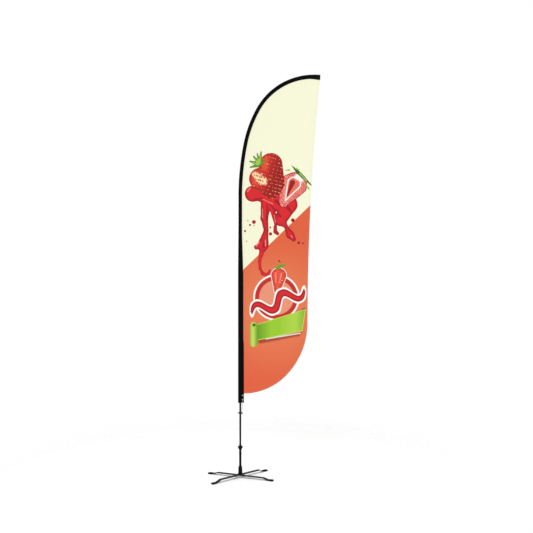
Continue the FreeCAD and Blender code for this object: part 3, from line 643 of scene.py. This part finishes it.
def makeTab():
    # the eyelet tab, a folded strap: its section is a flat loop with round edges, a cosine across and a sine
    # deep, each raised to a small power
    (x0, x1), (z0, z1) = tab["x"], tab["z"]
    middle, wide = (x0 + x1) / 2, (x1 - x0) / 2
    angle = np.linspace(0, 2 * math.pi, tab["sides"], endpoint=False)
    acrossShape = np.sign(np.cos(angle)) * np.abs(np.cos(angle)) ** tab["powers"][0]
    deepShape = np.sign(np.sin(angle)) * np.abs(np.sin(angle)) ** tab["powers"][1]
    body = np.linspace(z0 + tab["closing"], z1 - tab["closing"], tab["rows"])
    height = np.concatenate([[z0], body, [z1]])
    atEnd = (height == z0) | (height == z1)
    endWide, endDeep = tab["ends"]
    wave = 1 + tab["ripple"][0] * np.sin(height * tab["ripple"][1])
    x = middle + (wide * np.where(atEnd, endWide, 1.0))[:, None] * acrossShape
    y = (tab["half"] * np.where(atEnd, endDeep, 1.0) * wave)[:, None] * deepShape
    rings = np.stack([x, y, height[:, None] + 0 * x], axis=-1)
    piece = skin("grommetTab", rings, sharedPaint["webbing"], height, angle * tab["round"])
    hang(piece, "grommet_tab")


makeTab()
print("patch and tab made")

flag = {
    "low": 0.706, "edge": 0.026, "corner": 0.0254, "sewnIn": 0.0012,
    "roundA": 0.501, "roundB": 0.634, "turn": 45, "sag": 0.0254,
    "rows": 320, "columns": 104, "thick": 0.0004, "belly": 0.0055, "ripple": 0.0011, "pucker": 0.00035,
    "change": (2.30, 1.90), "flat": (0.66, 2.67),
}


def freeEdge(share):
    # the flag's lower and right edge at shares of its length: two arcs, then a long hollow curve to the tip
    turn = math.radians(flag["turn"])
    lower, upper = flag["roundA"], flag["roundB"]
    x1, z1 = flag["edge"] + lower * math.sin(turn), flag["low"] + lower * (1 - math.cos(turn))
    x2, z2 = x1 + upper * (1 - math.sin(turn)), z1 + upper * math.cos(turn)
    tipX, tipZ, _ = poleLine(poleEnd, flag["edge"])
    side = math.hypot(tipX - x2, tipZ - z2)
    first, second = lower * turn, upper * (math.pi / 2 - turn)
    reach = np.asarray(share) * (first + second + side)
    angleA = np.clip(reach / lower, 0, turn)
    angleB = turn + np.clip((reach - first) / upper, 0, math.pi / 2 - turn)
    w = np.clip((reach - first - second) / side, 0, 1)
    hollow = 4 * flag["sag"] * w * (1 - w)
    x = flag["edge"] + lower * np.sin(angleA) + upper * (np.sin(angleB) - math.sin(turn))
    z = flag["low"] + lower * (1 - np.cos(angleA)) + upper * (math.cos(turn) - np.cos(angleB))
    x, z = x + w * (tipX - x2), z + w * (tipZ - z2)
    return x - hollow * (tipZ - z2) / side, z + hollow * (tipX - x2) / side


folds = {
    "free": 0.11, "bellyFrom": 0.70, "bellyOver": 2.75, "ripples": ((1.0, 17, 9, 0.0), (0.6, 37, -15, 0.7)),
    "puckers": 250, "puckerWidth": 0.016, "puckerFrom": 0.003,
    "fans": (
        {"corner": (0.026, 0.706), "hub": (-0.02, 0.70), "way": 1,
         "height": 0.0013, "folds": 21, "reach": 0.3},
        {"corner": (0.67, 3.35), "hub": (0.70, 3.37), "way": -1,
         "height": 0.0014, "folds": 26, "reach": 0.4},
    ),
}
seamRow = np.linspace(0.70, poleEnd, 420)
seamX, seamZ, _ = poleLine(seamRow, seamReach(seamRow))


def clothRise(x, z):
    # how far the cloth stands behind (+) or in front (-) of its plane: a shallow belly that starts at the
    # seam, slow ripples across, puckers beside the seam and tension folds that fan out of the two corners
    x, z = np.asarray(x), np.asarray(z)
    gaps = np.hypot(x.reshape(-1, 1) - seamX, z.reshape(-1, 1) - seamZ)
    away = gaps.min(axis=1).reshape(x.shape)
    along = seamRow[gaps.argmin(axis=1)].reshape(x.shape)
    free = 1 - np.exp(-away / folds["free"])
    level = np.clip((z - folds["bellyFrom"]) / folds["bellyOver"], 0, 1)
    rise = -flag["belly"] * free * np.sin(math.pi * level)
    for height, upward, sideways, begun in folds["ripples"]:
        rise = rise + flag["ripple"] * free * height * np.sin(z * upward + x * sideways + begun)
    pucker = np.exp(-away / folds["puckerWidth"]) * np.clip(away / folds["puckerFrom"], 0, 1)
    rise = rise + flag["pucker"] * np.sin(along * folds["puckers"]) * pucker
    for fan in folds["fans"]:
        gap = np.hypot(x - fan["corner"][0], z - fan["corner"][1])
        angle = np.arctan2((z - fan["hub"][1]) * fan["way"], (x - fan["hub"][0]) * fan["way"])
        rise = rise + fan["height"] * np.sin(angle * fan["folds"]) * np.exp(-gap / fan["reach"]) * free
    return rise


def clothGrid():
    # rows join the seam to the free edge at equal shares of both; columns run between them
    share = np.linspace(0, 1, flag["rows"])
    distance = flag["low"] + share * (poleEnd - flag["low"])
    offset = np.minimum(seamReach(distance) - flag["sewnIn"], flag["corner"] + (distance - flag["low"]))
    x0, z0, _ = poleLine(distance, offset)
    x1, z1 = freeEdge(share)
    step = np.linspace(0, 1, flag["columns"])
    x = x0[:, None] + (x1 - x0)[:, None] * step
    z = z0[:, None] + (z1 - z0)[:, None] * step
    return np.stack([x, clothRise(x, z), z], axis=-1)


printed = {
    "cream": tint(246, 246, 216), "orange": tint(224, 98, 63), "paleOrange": tint(230, 124, 83),
    "berry": tint(212, 50, 42), "berryBright": tint(232, 78, 54), "berryDark": tint(158, 26, 32),
    "seed": tint(240, 178, 108), "seedDark": tint(138, 20, 24), "leaf": tint(102, 160, 52),
    "leafPale": tint(166, 204, 84), "leafDark": tint(40, 104, 44), "flesh": tint(230, 112, 92),
    "fleshPale": tint(250, 214, 196), "shine": tint(253, 226, 178),
    "pink": tint(222, 78, 84), "white": tint(252, 250, 244),
    "juice": tint(218, 40, 48), "juiceDark": tint(168, 22, 34), "juicePale": tint(244, 132, 128),
    "lime": tint(154, 203, 50), "limeDark": tint(100, 156, 38), "limePale": tint(192, 222, 92),
    "shade": tint(168, 72, 46), "band": tint(196, 48, 42), "disc": tint(234, 150, 120),
    "underside": tint(222, 218, 214),
}

# The print's shapes, in millimetres right of the pole and above the floor. Three numbers are a round
# spot (x, z, radius) and six are a tapered bar (x, z, radius at one end, then at the other).
shapes = {
    "berry": ((259, 2637, 97, 290, 2478, 84), (166, 2517, 92, 262, 2424, 76)),
    "berryBright": ((130, 2560, 26, 130, 2490, 30), (215, 2690, 22, 205, 2610, 24)),
    "shine": ((142, 2536, 34, 186, 2508, 42),),
    "leaves": ((164, 2646, 20, 176, 2746, 4), (160, 2646, 19, 143, 2730, 4), (158, 2644, 20, 112, 2706, 5),
               (154, 2640, 20, 82, 2664, 5), (152, 2632, 18, 84, 2614, 5), (164, 2642, 17, 204, 2672, 4)),
    "leafLight": ((160, 2650, 8, 172, 2722, 2), (156, 2648, 7, 142, 2708, 2), (150, 2644, 8, 118, 2690, 2),
                  (146, 2638, 7, 98, 2656, 2)),
    "half": ((457, 2464, 107, 366, 2306, 36), (412, 2470, 84, 356, 2330, 34)),
    "heart": ((452, 2474, 60, 380, 2334, 6),),
    "hollow": ((440, 2484, 22, 396, 2376, 6),),
    "crown": ((484, 2532, 22, 516, 2506, 16),),
    "halfLeaves": ((433, 2629, 3, 484, 2574, 14), (484, 2574, 14, 535, 2525, 14),
                   (535, 2525, 13, 606, 2455, 3)),
    "halfLeavesPale": ((382, 2588, 3, 412, 2590, 9), (470, 2604, 8, 500, 2590, 3),
                       (556, 2470, 3, 576, 2432, 9),
                       (500, 2562, 5, 560, 2500, 5)),
    "pourTop": ((104, 2390, 67), (150, 2400, 70, 380, 2340, 80), (250, 2330, 75, 404, 2300, 78),
                (404, 2300, 76, 341, 2166, 50), (215, 2300, 42, 203, 2184, 31),
                (262, 2268, 32, 294, 2137, 15)),
    "pourLow": ((341, 2166, 48, 384, 2116, 16), (384, 2116, 15, 421, 2044, 33),
                (421, 2044, 33, 450, 2008, 20),
                (203, 2184, 31, 219, 2081, 19), (219, 2081, 19, 192, 1960, 48),
                (188, 1952, 38, 136, 1940, 20),
                (190, 1935, 34, 176, 1885, 18), (294, 2137, 15, 296, 2070, 15),
                (296, 2070, 15, 314, 2054, 14)),
    "pourEnd": ((192, 1960, 48, 219, 2081, 19), (188, 1952, 38, 136, 1940, 20),
                (190, 1935, 34, 176, 1885, 18),
                (176, 1885, 18, 163, 1819, 12), (163, 1819, 12, 166, 1760, 11),
                (166, 1760, 11, 190, 1717, 13),
                (190, 1717, 13, 228, 1702, 15), (228, 1702, 14, 250, 1744, 8)),
    "gap": ((249, 2236, 4, 262, 2132, 24), (337, 2092, 25)),
    "shadeTop": ((120, 2345, 6, 190, 2352, 5), (300, 2330, 10, 345, 2290, 12), (252, 2300, 5, 338, 2200, 9)),
    "shadeLow": ((226, 2300, 5, 224, 2170, 9), (402, 2272, 13, 432, 2228, 6), (204, 2010, 5, 196, 1940, 9)),
    "shineTop": ((191, 2344, 3, 272, 2305, 3), (60, 2410, 5, 84, 2440, 5)),
    "shineLow": ((158, 1980, 6, 134, 1950, 5), (212, 2000, 5, 213, 1954, 4), (430, 2036, 5, 438, 2020, 4),
                 (186, 2260, 3, 188, 2190, 3), (288, 2210, 3, 296, 2150, 3)),
    "drops": ((115, 2152, 16), (82, 2127, 9), (40, 2076, 9), (443, 2167, 16), (253, 2106, 8),
              (255, 2052, 14),
              (492, 1977, 12), (528, 1972, 8), (64, 2162, 5), (116, 2122, 5), (54, 1990, 5)),
    "lowDrops": ((328, 1823, 8), (338, 1812, 4)),
    "small": ((324, 1700, 64, 312, 1574, 27),),
    "smallShine": ((298, 1722, 8, 300, 1640, 4), (346, 1716, 8, 330, 1640, 4)),
    "smallLeaf": ((318, 1760, 8, 350, 1784, 13), (350, 1784, 12, 388, 1792, 3), (318, 1760, 8, 284, 1778, 4),
                  (320, 1762, 7, 322, 1802, 3)),
    "roll": ((115, 1278, 32, 115, 1132, 33),),
    "rollInside": ((115, 1284, 13),),
    "sliver": ((217, 1168, 7, 505, 1214, 5),),
    "curl": ((508, 1392, 14, 540, 1418, 10),),
}
ribbon = {"front": ((136, 1288), (552, 1420), (524, 1232), (136, 1152)),
          "shadow": ((138, 1156), (524, 1226), (500, 1192), (165, 1126))}
backing = {"lineAt": (26.1, 1751.8), "lineRise": 0.9614, "lineWidth": 0.72, "glowAt": (300, 1420, 0),
           "glow": (120, 700)}
knit = {"across": 1.1, "up": 0.9, "ink": (0.02, 0.02, 0.02, 1)}
seeds = {"lean": (0.86, 0.5), "grain": 34, "stray": 50, "fall": 0.55}
badge = {"centre": (305, 1516, 0), "outer": 196, "ring": 181, "inner": 146}
splash = {"start": (92, 1384), "turn": 23.5, "long": 492, "wave": 50, "pitch": 246, "thick": 31,
          "outline": 15}


def spot(paint, place, x, z, radius):
    # distance from a centre, less a radius: negative inside
    return paint.vectors("DISTANCE", place, (x, z, 0), output=1) - radius


def bar(paint, place, x1, z1, r1, x2, z2, r2):
    # distance from a line, less a radius that changes evenly from one end to the other
    line = np.array([x2 - x1, z2 - z1, 0.0])
    begun = paint.vectors("SUBTRACT", place, (x1, z1, 0))
    share = paint.vectors("DOT_PRODUCT", begun, tuple(line / (line @ line)), output=1)
    share = share.maths("MULTIPLY", 1.0, clamp=True)
    nearest = paint.node("ShaderNodeVectorMath", {"operation": "SCALE"}, {0: tuple(line), "Scale": share})
    return paint.vectors("DISTANCE", begun, nearest, output=1) - (share * (r2 - r1) + r1)


def shape(paint, place, names, width=10):
    # several spots and bars melted into one outline
    joined = None
    for part in [part for name in names.split() for part in shapes[name]]:
        distance = (spot if len(part) == 3 else bar)(paint, place, *part)
        joined = distance if joined is None else joined.melt(distance, width)
    return joined


def plate(paint, place, corners):
    # the inside of a convex outline: the greatest distance beyond any of its sides (corners run clockwise)
    inside = None
    for (x1, z1), (x2, z2) in zip(corners, corners[1:] + corners[:1]):
        long = math.hypot(x2 - x1, z2 - z1)
        out = (-(z2 - z1) / long, (x2 - x1) / long, 0)
        beyond = paint.vectors("DOT_PRODUCT", place, out, output=1) - (out[0] * x1 + out[1] * z1)
        inside = beyond if inside is None else inside.most(beyond)
    return inside


def seedSpots(paint, across, up, pitch):
    # rough distance from the nearest seed: two slanting waves peak together on a staggered lattice that
    # a finer wander pulls out of line
    wave = math.pi / pitch
    more, less = seeds["lean"]
    stray = paint.noise(seeds["grain"], 2, 0.5) * seeds["stray"]
    first = ((across * more + up * less + stray) * wave).sine()
    second = ((up * more - across * less - stray) * wave).sine()
    return (1.0 - first * second) * (pitch * seeds["fall"])


def startPrint(name):
    # what the three prints share: lengths in millimetres, a slow wander for hand-drawn edges, and the ground,
    # cream above a rising line and orange below it, paler round the badge
    paint = Paint(name, Specular_IOR_Level=0.2, Sheen_Weight=0.05)
    across, up = paint.x * 1000, paint.z * 1000
    place = paint.node("ShaderNodeCombineXYZ", {}, [across, up, 0.0])
    right, level = backing["lineAt"]
    below = (across - right) * backing["lineRise"] + level - up
    fromGlow = paint.vectors("DISTANCE", place, backing["glowAt"], output=1)
    glow = paint.spread(fromGlow, *backing["glow"], 1.0, 0.0, True)
    orange = paint.mix(glow, printed["orange"], printed["paleOrange"])
    ground = paint.over(orange, below * backing["lineWidth"], printed["cream"], 0.7)
    return paint, place, across, up, paint.noise(14, 3, 0.55) - 0.5, ground


def endPrint(paint, across, up, ground):
    # knitted ground: loops in rows, a product of two sines, with a faint change of ink from yarn to yarn
    loops = (across * (2 * math.pi / knit["across"])).sine() * (up * (2 * math.pi / knit["up"])).sine()
    yarn = paint.spread(loops, -1, 1, 0.0, 0.07)
    ink = paint.mix(yarn, ground, knit["ink"])
    rough = paint.spread(paint.noise(20, 3, 0.6), 0.3, 0.7, 0.72, 0.88)
    return paint.finish(ink, rough, loops, 0.00012, 0.25)


def addJuice(paint, place, wander, ground, low):
    # juice: one melted outline with darker and lighter runs in it, and loose drops below
    parts = {"pour": "pourTop", "shade": "shadeTop", "shine": "shineTop"}
    if low:
        parts = {"pour": "pourTop pourLow", "shade": "shadeTop shadeLow", "shine": "shineTop shineLow"}
    juice = shape(paint, place, parts["pour"], 16) + wander * 10
    ink = paint.mix(paint.spread(juice, -26, -3), printed["juice"], printed["juiceDark"])
    ink = paint.over(ink, shape(paint, place, parts["shade"]) + wander * 18, printed["juiceDark"], 3)
    ink = paint.over(ink, shape(paint, place, parts["shine"]) + wander * 8, printed["juicePale"], 2)
    if low:
        juice = juice.most(shape(paint, place, "gap") * -1).least(shape(paint, place, "drops", 0.1))
    return paint.over(ground, juice, ink)


def addHalf(paint, place, across, up, wander, ground):
    # half berry: red rim, streaked flesh, a white heart line round a hollow
    half = shape(paint, place, "half") + wander * 6
    streaks = (across * 0.42 - up * 0.16 + wander * 40).sine() * (up * 0.05 + wander * 20).sine()
    flesh = paint.mix(paint.spread(half, -52, -12), printed["flesh"], printed["pink"])
    flesh = paint.mix(paint.spread(streaks, 0.0, 0.9, 0.0, 0.75), flesh, printed["fleshPale"])
    heart = shape(paint, place, "heart")
    flesh = paint.over(flesh, heart, printed["white"], 2)
    flesh = paint.over(flesh, heart + 10, printed["flesh"], 2)
    flesh = paint.over(flesh, shape(paint, place, "hollow"), printed["berryDark"], 2)
    flesh = paint.over(flesh, shape(paint, place, "crown") + wander * 14, printed["white"], 9)
    flesh = paint.mix(paint.spread(half, -9, -4), flesh, printed["berryDark"])
    return paint.over(ground, half, flesh)


def addBerry(paint, place, across, up, wander, ground):
    # whole berry: shaded body, seeds in dark pits, a pale shine and leaves
    berry = shape(paint, place, "berry", 34)
    side = across - (up - 2540) * 0.35
    ink = paint.mix(paint.spread(side, 120, 330, 0, 1, True), printed["berry"], printed["berryDark"])
    ink = paint.over(ink, shape(paint, place, "berryBright") + wander * 30, printed["berryBright"], 14)
    ink = paint.mix(paint.spread(berry, -24, 0, 0.0, 0.75), ink, printed["berryDark"])
    pips = seedSpots(paint, across, up, 21)
    shine = shape(paint, place, "shine") + wander * 90
    ink = paint.over(ink, shine, printed["shine"], 7)
    ink = paint.over(ink, (pips - 7.5).most(shine), printed["berry"], 3)
    ink = paint.over(ink, pips - 4.6, printed["seedDark"], 2)
    ink = paint.over(ink, pips - 1.6, printed["seed"], 1)
    ground = paint.over(ground, berry, ink)
    leaves = shape(paint, place, "leaves", 3) + wander * 6
    ground = paint.over(ground, leaves, printed["leafDark"])
    ground = paint.over(ground, leaves + 4, printed["leaf"], 2)
    return paint.over(ground, shape(paint, place, "leafLight", 3), printed["leafPale"], 1)


def upperPrint():
    # every print is drawn by distances from its shapes, so its edges stay sharp at any size
    paint, place, across, up, wander, ground = startPrint("upperPrint")
    ground = addJuice(paint, place, wander, ground, False)
    ground = addHalf(paint, place, across, up, wander, ground)
    ground = paint.over(ground, shape(paint, place, "halfLeaves", 4) + wander * 8, printed["leafDark"])
    ground = paint.over(ground, shape(paint, place, "halfLeavesPale", 2), printed["leafPale"])
    return endPrint(paint, across, up, addBerry(paint, place, across, up, wander, ground))


def middlePrint():
    paint, place, across, up, wander, ground = startPrint("middlePrint")
    ground = addJuice(paint, place, wander, ground, True)
    return endPrint(paint, across, up, addHalf(paint, place, across, up, wander, ground))


def lowerPrint():
    # the end of the juice, a badge with a small berry, a wavy stroke and a plain ribbon
    paint, place, across, up, wander, ground = startPrint("lowerPrint")
    juice = shape(paint, place, "pourEnd", 16) + wander * 10
    juiceInk = paint.mix(paint.spread(juice, -9, 0), printed["juice"], printed["juiceDark"])
    ground = paint.over(ground, juice.least(shape(paint, place, "lowDrops", 0.1)), juiceInk)

    # badge: a disc in a white ring with a red band inside it
    middle = paint.vectors("DISTANCE", place, badge["centre"], output=1)
    ground = paint.over(ground, middle - badge["outer"], printed["white"])
    ground = paint.over(ground, middle - badge["ring"], printed["band"])
    ground = paint.over(ground, middle - badge["inner"], printed["disc"], 3)
    small = shape(paint, place, "small")
    ground = paint.over(ground, small - 5, printed["white"])
    smallInk = paint.mix(paint.spread(small, -26, 0), printed["berryBright"], printed["band"])
    smallInk = paint.over(smallInk, seedSpots(paint, across, up, 16) - 1.2, printed["seed"], 1)
    smallInk = paint.over(smallInk, shape(paint, place, "smallShine"), printed["juicePale"], 2)
    ground = paint.over(ground, small, smallInk)
    ground = paint.over(ground, shape(paint, place, "smallLeaf", 3), printed["leaf"])
    ground = splashOver(paint, place, ground)

    # ribbon: a plain banner with its rolled end, a pale underside and its shadow
    front = plate(paint, place, ribbon["front"])
    roll = shape(paint, place, "roll")
    ground = paint.over(ground, plate(paint, place, ribbon["shadow"]), printed["shade"], 8)
    ground = paint.over(ground, shape(paint, place, "sliver"), printed["underside"], 1)
    ground = paint.over(ground, shape(paint, place, "curl"), printed["leafDark"])
    band = paint.mix(paint.spread(across, 150, 260, 0.9, 0.0), printed["lime"], printed["limeDark"])
    band = paint.mix(paint.spread(across, 330, 440, 0.0, 0.5), band, printed["limePale"])
    band = paint.mix(paint.spread(across, 470, 550, 0.0, 0.7), band, printed["limeDark"])
    band = paint.mix(paint.spread(front, -8, -4), band, printed["limePale"])
    ground = paint.over(ground, front, band)
    rolled = paint.mix(paint.spread((across - 106).size(), 4, 40), printed["limePale"], printed["limeDark"])
    ground = paint.over(ground, roll, rolled)
    ground = paint.over(ground, shape(paint, place, "rollInside"), printed["leafDark"], 3)
    return endPrint(paint, across, up, ground)


def splashOver(paint, place, ground):
    # a wavy stroke along a rising line: the wave is a sine, and its ends taper as a half circle does
    turn = math.radians(splash["turn"])
    begun = paint.vectors("SUBTRACT", place, (*splash["start"], 0))
    along = paint.vectors("DOT_PRODUCT", begun, (math.cos(turn), math.sin(turn), 0), output=1)
    aside = paint.vectors("DOT_PRODUCT", begun, (-math.sin(turn), math.cos(turn), 0), output=1)
    turns = 2 * math.pi / splash["pitch"]
    wave = (along * turns).sine() * splash["wave"]
    slope = (along * turns).maths("COSINE") * (turns * splash["wave"])
    lean = (slope * slope * 0.7 + 1).maths("SQRT")
    middle = (along / (splash["long"] / 2)) - 1
    girth = (1.06 - middle * middle).maths("MAXIMUM", 0.0).maths("POWER", 0.4) * splash["thick"]
    stroke = (aside - wave).size() / lean - girth
    ends = middle.size() * (splash["long"] / 2) - splash["long"] / 2
    outer = (stroke - splash["outline"]).most(ends - splash["outline"])
    ground = paint.over(ground, outer, printed["white"])
    ink = paint.mix(paint.spread(stroke, -20, -6), printed["juice"], printed["berryDark"])
    return paint.over(ground, stroke.most(ends), ink)


def usePrints(piece):
    # one print for each stretch of height; neighbours look the same where they meet
    mesh = piece.data
    places = np.empty(len(mesh.vertices) * 3)
    mesh.vertices.foreach_get("co", places)
    first = np.empty(len(mesh.polygons), int)
    mesh.polygons.foreach_get("loop_start", first)
    corner = np.empty(len(mesh.loops), int)
    mesh.loops.foreach_get("vertex_index", corner)
    height = places.reshape(-1, 3)[corner[first], 2]
    mesh.materials.clear()
    for material in flagPrints:
        mesh.materials.append(material)
    mesh.polygons.foreach_set("material_index", np.digitize(-height, [-level for level in flag["change"]]))
    mesh.update()


def makeFlag():
    points = clothGrid()
    rows, columns = points.shape[:2]
    faces = gridFaces(rows, columns)[0].tolist()
    piece = newPiece("flagCloth", points, faces, flagPrints[0], closed=False)
    usePrints(piece)
    wall = piece.modifiers.new("wall", "SOLIDIFY")
    wall.thickness = flag["thick"]
    wall.offset = 0
    area = sum(polygon.area for polygon in piece.data.polygons)
    print("flag area", round(area, 4))
    hang(piece, "flag_panel")
    return piece, area


hem = {"half": 0.0008, "stitchIn": 0.0092, "pitch": 0.0062, "from": 0.0006, "to": 0.9985,
       "rows": 460, "long": 2.94, "round": 0.026, "sewn": 2.9, "sewnFrom": 0.004, "rise": 0.00072,
       "section": ((-0.0007, 0.0003), (0.0, 0.85), (0.003, 1.0), (0.006, 0.9), (0.009, 0.8), (0.012, 0.45)),
       "thread": (0.0042, 0.00034)}


def edgeFrame(share):
    # the free edge's points and the direction into the cloth, square to the edge
    x, z = freeEdge(share)
    ahead = np.stack([np.gradient(x), np.gradient(z)], axis=-1)
    ahead /= np.linalg.norm(ahead, axis=1, keepdims=True)
    return x, z, ahead, np.stack([-ahead[:, 1], ahead[:, 0]], axis=-1)


def makeHem():
    # the free edge is turned over and sewn: a flat loop, thicker at its fold, that follows the cloth; its
    # section lists places across the hem and the share of the full half thickness there
    share = np.linspace(hem["from"], hem["to"], hem["rows"])
    x, z, _, inside = edgeFrame(share)
    steps, half = np.array(hem["section"]).T
    half = half * hem["half"]
    px = x[:, None] + inside[:, :1] * steps
    pz = z[:, None] + inside[:, 1:] * steps
    rise = clothRise(px, pz)
    front = np.stack([px, rise - half, pz], axis=-1)
    back = np.stack([px, rise + half, pz], axis=-1)
    rings = np.concatenate([front, back[:, ::-1]], axis=1)
    around = np.linspace(0, hem["round"], rings.shape[1])
    piece = skin("flagHem", rings, flagPrints[0], share * hem["long"], around)
    usePrints(piece)
    hang(piece)
    return piece


def sewBothSides(name, x, z, ahead, thread, half, middle=0.0, size=(), number=""):
    # the same row of stitches on a wall's front and back: middle is the wall's y, half its half thickness
    rows = []
    for side, way in (("Front", -1.0), ("Back", 1.0)):
        centres = np.stack([x, middle + way * half + 0 * x, z], axis=-1)
        out = np.tile([0.0, way, 0.0], (len(x), 1))
        rows.append(stitches(f"{name}{side}{number}", centres, ahead, out, sharedPaint[thread], *size))
    return rows


def hemStitches():
    # one row of pale thread along the hem, on the front and the back
    count = int(hem["sewn"] / hem["pitch"])
    share = np.linspace(hem["from"] + hem["sewnFrom"], hem["to"] - hem["sewnFrom"], count)
    x, z, ahead, inside = edgeFrame(share)
    x, z = x + inside[:, 0] * hem["stitchIn"], z + inside[:, 1] * hem["stitchIn"]
    rise = clothRise(x, z)
    ahead = np.stack([ahead[:, 0], np.gradient(rise) / hem["pitch"], ahead[:, 1]], axis=-1)
    return sewBothSides("hemStitch", x, z, ahead, "paleThread", hem["rise"], rise, hem["thread"])


seam = {"pitch": 0.0068, "in": (0.0022, 0.0068), "from": 0.632, "to": 3.70}


def seamStitches():
    # two rows of black thread hold the flag in the sleeve's web, on the front and the back
    distance = np.arange(seam["from"], seam["to"], seam["pitch"])
    rows = []
    for order, inset in enumerate(seam["in"], 1):
        across = seamReach(distance) - inset
        x, z, aim = poleLine(distance, across)
        half = sleeveHalf(distance, across)
        ahead = np.stack([np.sin(aim), 0 * aim, np.cos(aim)], axis=-1)
        rows += sewBothSides("seamStitch", x, z, ahead, "blackThread", half, number=order)
    return rows


ring = {"fromMouth": 0.020, "begin": 0.002, "pitch": 0.0052, "ahead": 0.0004, "thread": (0.0036, 0.0003)}


def ringStitches():
    # rows round the sleeve: the turned lower hem and the two rows on the tip's patch
    rows = []
    first, second = patch["stitchAt"]
    places = {"sleeveHemStitch": (sleeve["start"] + ring["fromMouth"], 0.0),
              "patchStitch1": (poleEnd - first, patch["grow"]),
              "patchStitch2": (poleEnd - second, patch["grow"])}
    for name, (distance, grow) in places.items():
        loop = sleeveRings(np.array([distance]), np.zeros(1), np.ones(1), grow)[0]
        lengths = np.concatenate([[0], np.cumsum(np.linalg.norm(np.diff(loop, axis=0), axis=1))])
        at = np.arange(ring["begin"], lengths[-1], ring["pitch"])
        centres = np.stack([np.interp(at, lengths, part) for part in loop.T], axis=-1)
        ahead = np.stack([np.interp(at + ring["ahead"], lengths, part) for part in loop.T], axis=-1) - centres
        ahead[np.linalg.norm(ahead, axis=1) < 1e-7] = (0, 1, 0)
        centre = loop.mean(axis=0)
        aim = float(poleLine(distance)[2])
        axis = np.array([math.sin(aim), 0, math.cos(aim)])
        out = np.cross(ahead / np.linalg.norm(ahead, axis=1, keepdims=True), axis)
        out *= np.sign(np.sum(out * (centres - centre), axis=1, keepdims=True) + 1e-9)
        rows.append(stitches(name, centres, ahead, out, sharedPaint["blackThread"], *ring["thread"]))
    return rows


tabRows = {"in": 0.0017, "sidePitch": 0.0034, "sideFrom": 0.001, "endPitch": 0.003, "endFrom": 0.0012,
           "sunk": 0.99, "thread": (0.0024, 0.00022)}


def tabStitches():
    # a box of stitches near the tab's edge, front and back
    (x0, x1), (z0, z1) = tab["x"], tab["z"]
    inset = tabRows["in"]
    left, right, low, high = x0 + inset, x1 - inset, z0 + inset, z1 - inset
    sideZ = np.arange(low + tabRows["sideFrom"], high, tabRows["sidePitch"])
    endX = np.arange(left + tabRows["endFrom"], right, tabRows["endPitch"])
    x = np.concatenate([0 * sideZ + left, 0 * sideZ + right, endX, endX])
    z = np.concatenate([sideZ, sideZ, 0 * endX + low, 0 * endX + high])
    upward = np.concatenate([0 * sideZ + 1, 0 * sideZ + 1, 0 * endX, 0 * endX])
    ahead = np.stack([1 - upward, 0 * upward, upward], axis=-1)
    half = tab["half"] * tabRows["sunk"]
    return sewBothSides("tabStitch", x, z, ahead, "blackThread", half, size=tabRows["thread"])


flagPrints = upperPrint(), middlePrint(), lowerPrint()
flagCloth, flagArea = makeFlag()
print("flag cut and printed")
flagHem = makeHem()
hemRows = hemStitches()
blackRows = seamStitches() + ringStitches() + tabStitches()
for row in hemRows:
    hang(row)
for row in blackRows:
    hang(row)
print("hem and stitches sewn")


floor = {
    "colour": (0.76, 0.76, 0.76, 1), "specular": 0.12, "glow": 0.02, "roughness": (0.12, 0.17),
    "solidTo": 1.3, "goneAt": 2.6, "half": 3.0, "steps": 9, "below": 0.0002,
    "shadedBy": ("lower_cross_bar", "upper_cross_bar", "lower_foot_caps", "upper_foot_caps", "hub_housing"),
}


def floorPaint():
    # a smooth white floor that fades into the white room around it
    paint = Paint("studioFloor", Base_Color=floor["colour"], Specular_IOR_Level=floor["specular"],
                  Emission_Color=(1, 1, 1, 1), Emission_Strength=floor["glow"])
    away = paint.vectors("LENGTH", paint.place, output=1)
    paint.join(paint.spread(away, floor["solidTo"], floor["goneAt"], 1.0, 0.0, True), "Alpha")
    cloud = paint.noise(3, 2, 0.5)
    return paint.finish(roughness=paint.spread(cloud, 0.3, 0.7, *floor["roughness"]))


def makeFloor():
    count = floor["steps"]
    step = np.linspace(-floor["half"], floor["half"], count)
    x, y = np.meshgrid(step, step, indexing="ij")
    points = np.stack([x, y, 0 * x - floor["below"]], axis=-1)
    ground = newPiece("studioFloor", points, gridFaces(count, count)[0].tolist(), floorPaint(), closed=False)
    return ground


def floorLamp(ground):
    # a lamp for the floor alone that only the base shades, so each bar has a shadow just under it
    lamp = areaLight("floorLamp")
    lit, shading = bpy.data.collections.new("litFloor"), bpy.data.collections.new("shadingBase")
    lit.objects.link(ground)
    for name in floor["shadedBy"]:
        shading.objects.link(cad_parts[name])
    lamp.light_linking.receiver_collection = lit
    lamp.light_linking.blocker_collection = shading


floorLamp(makeFloor())
print("floor laid")
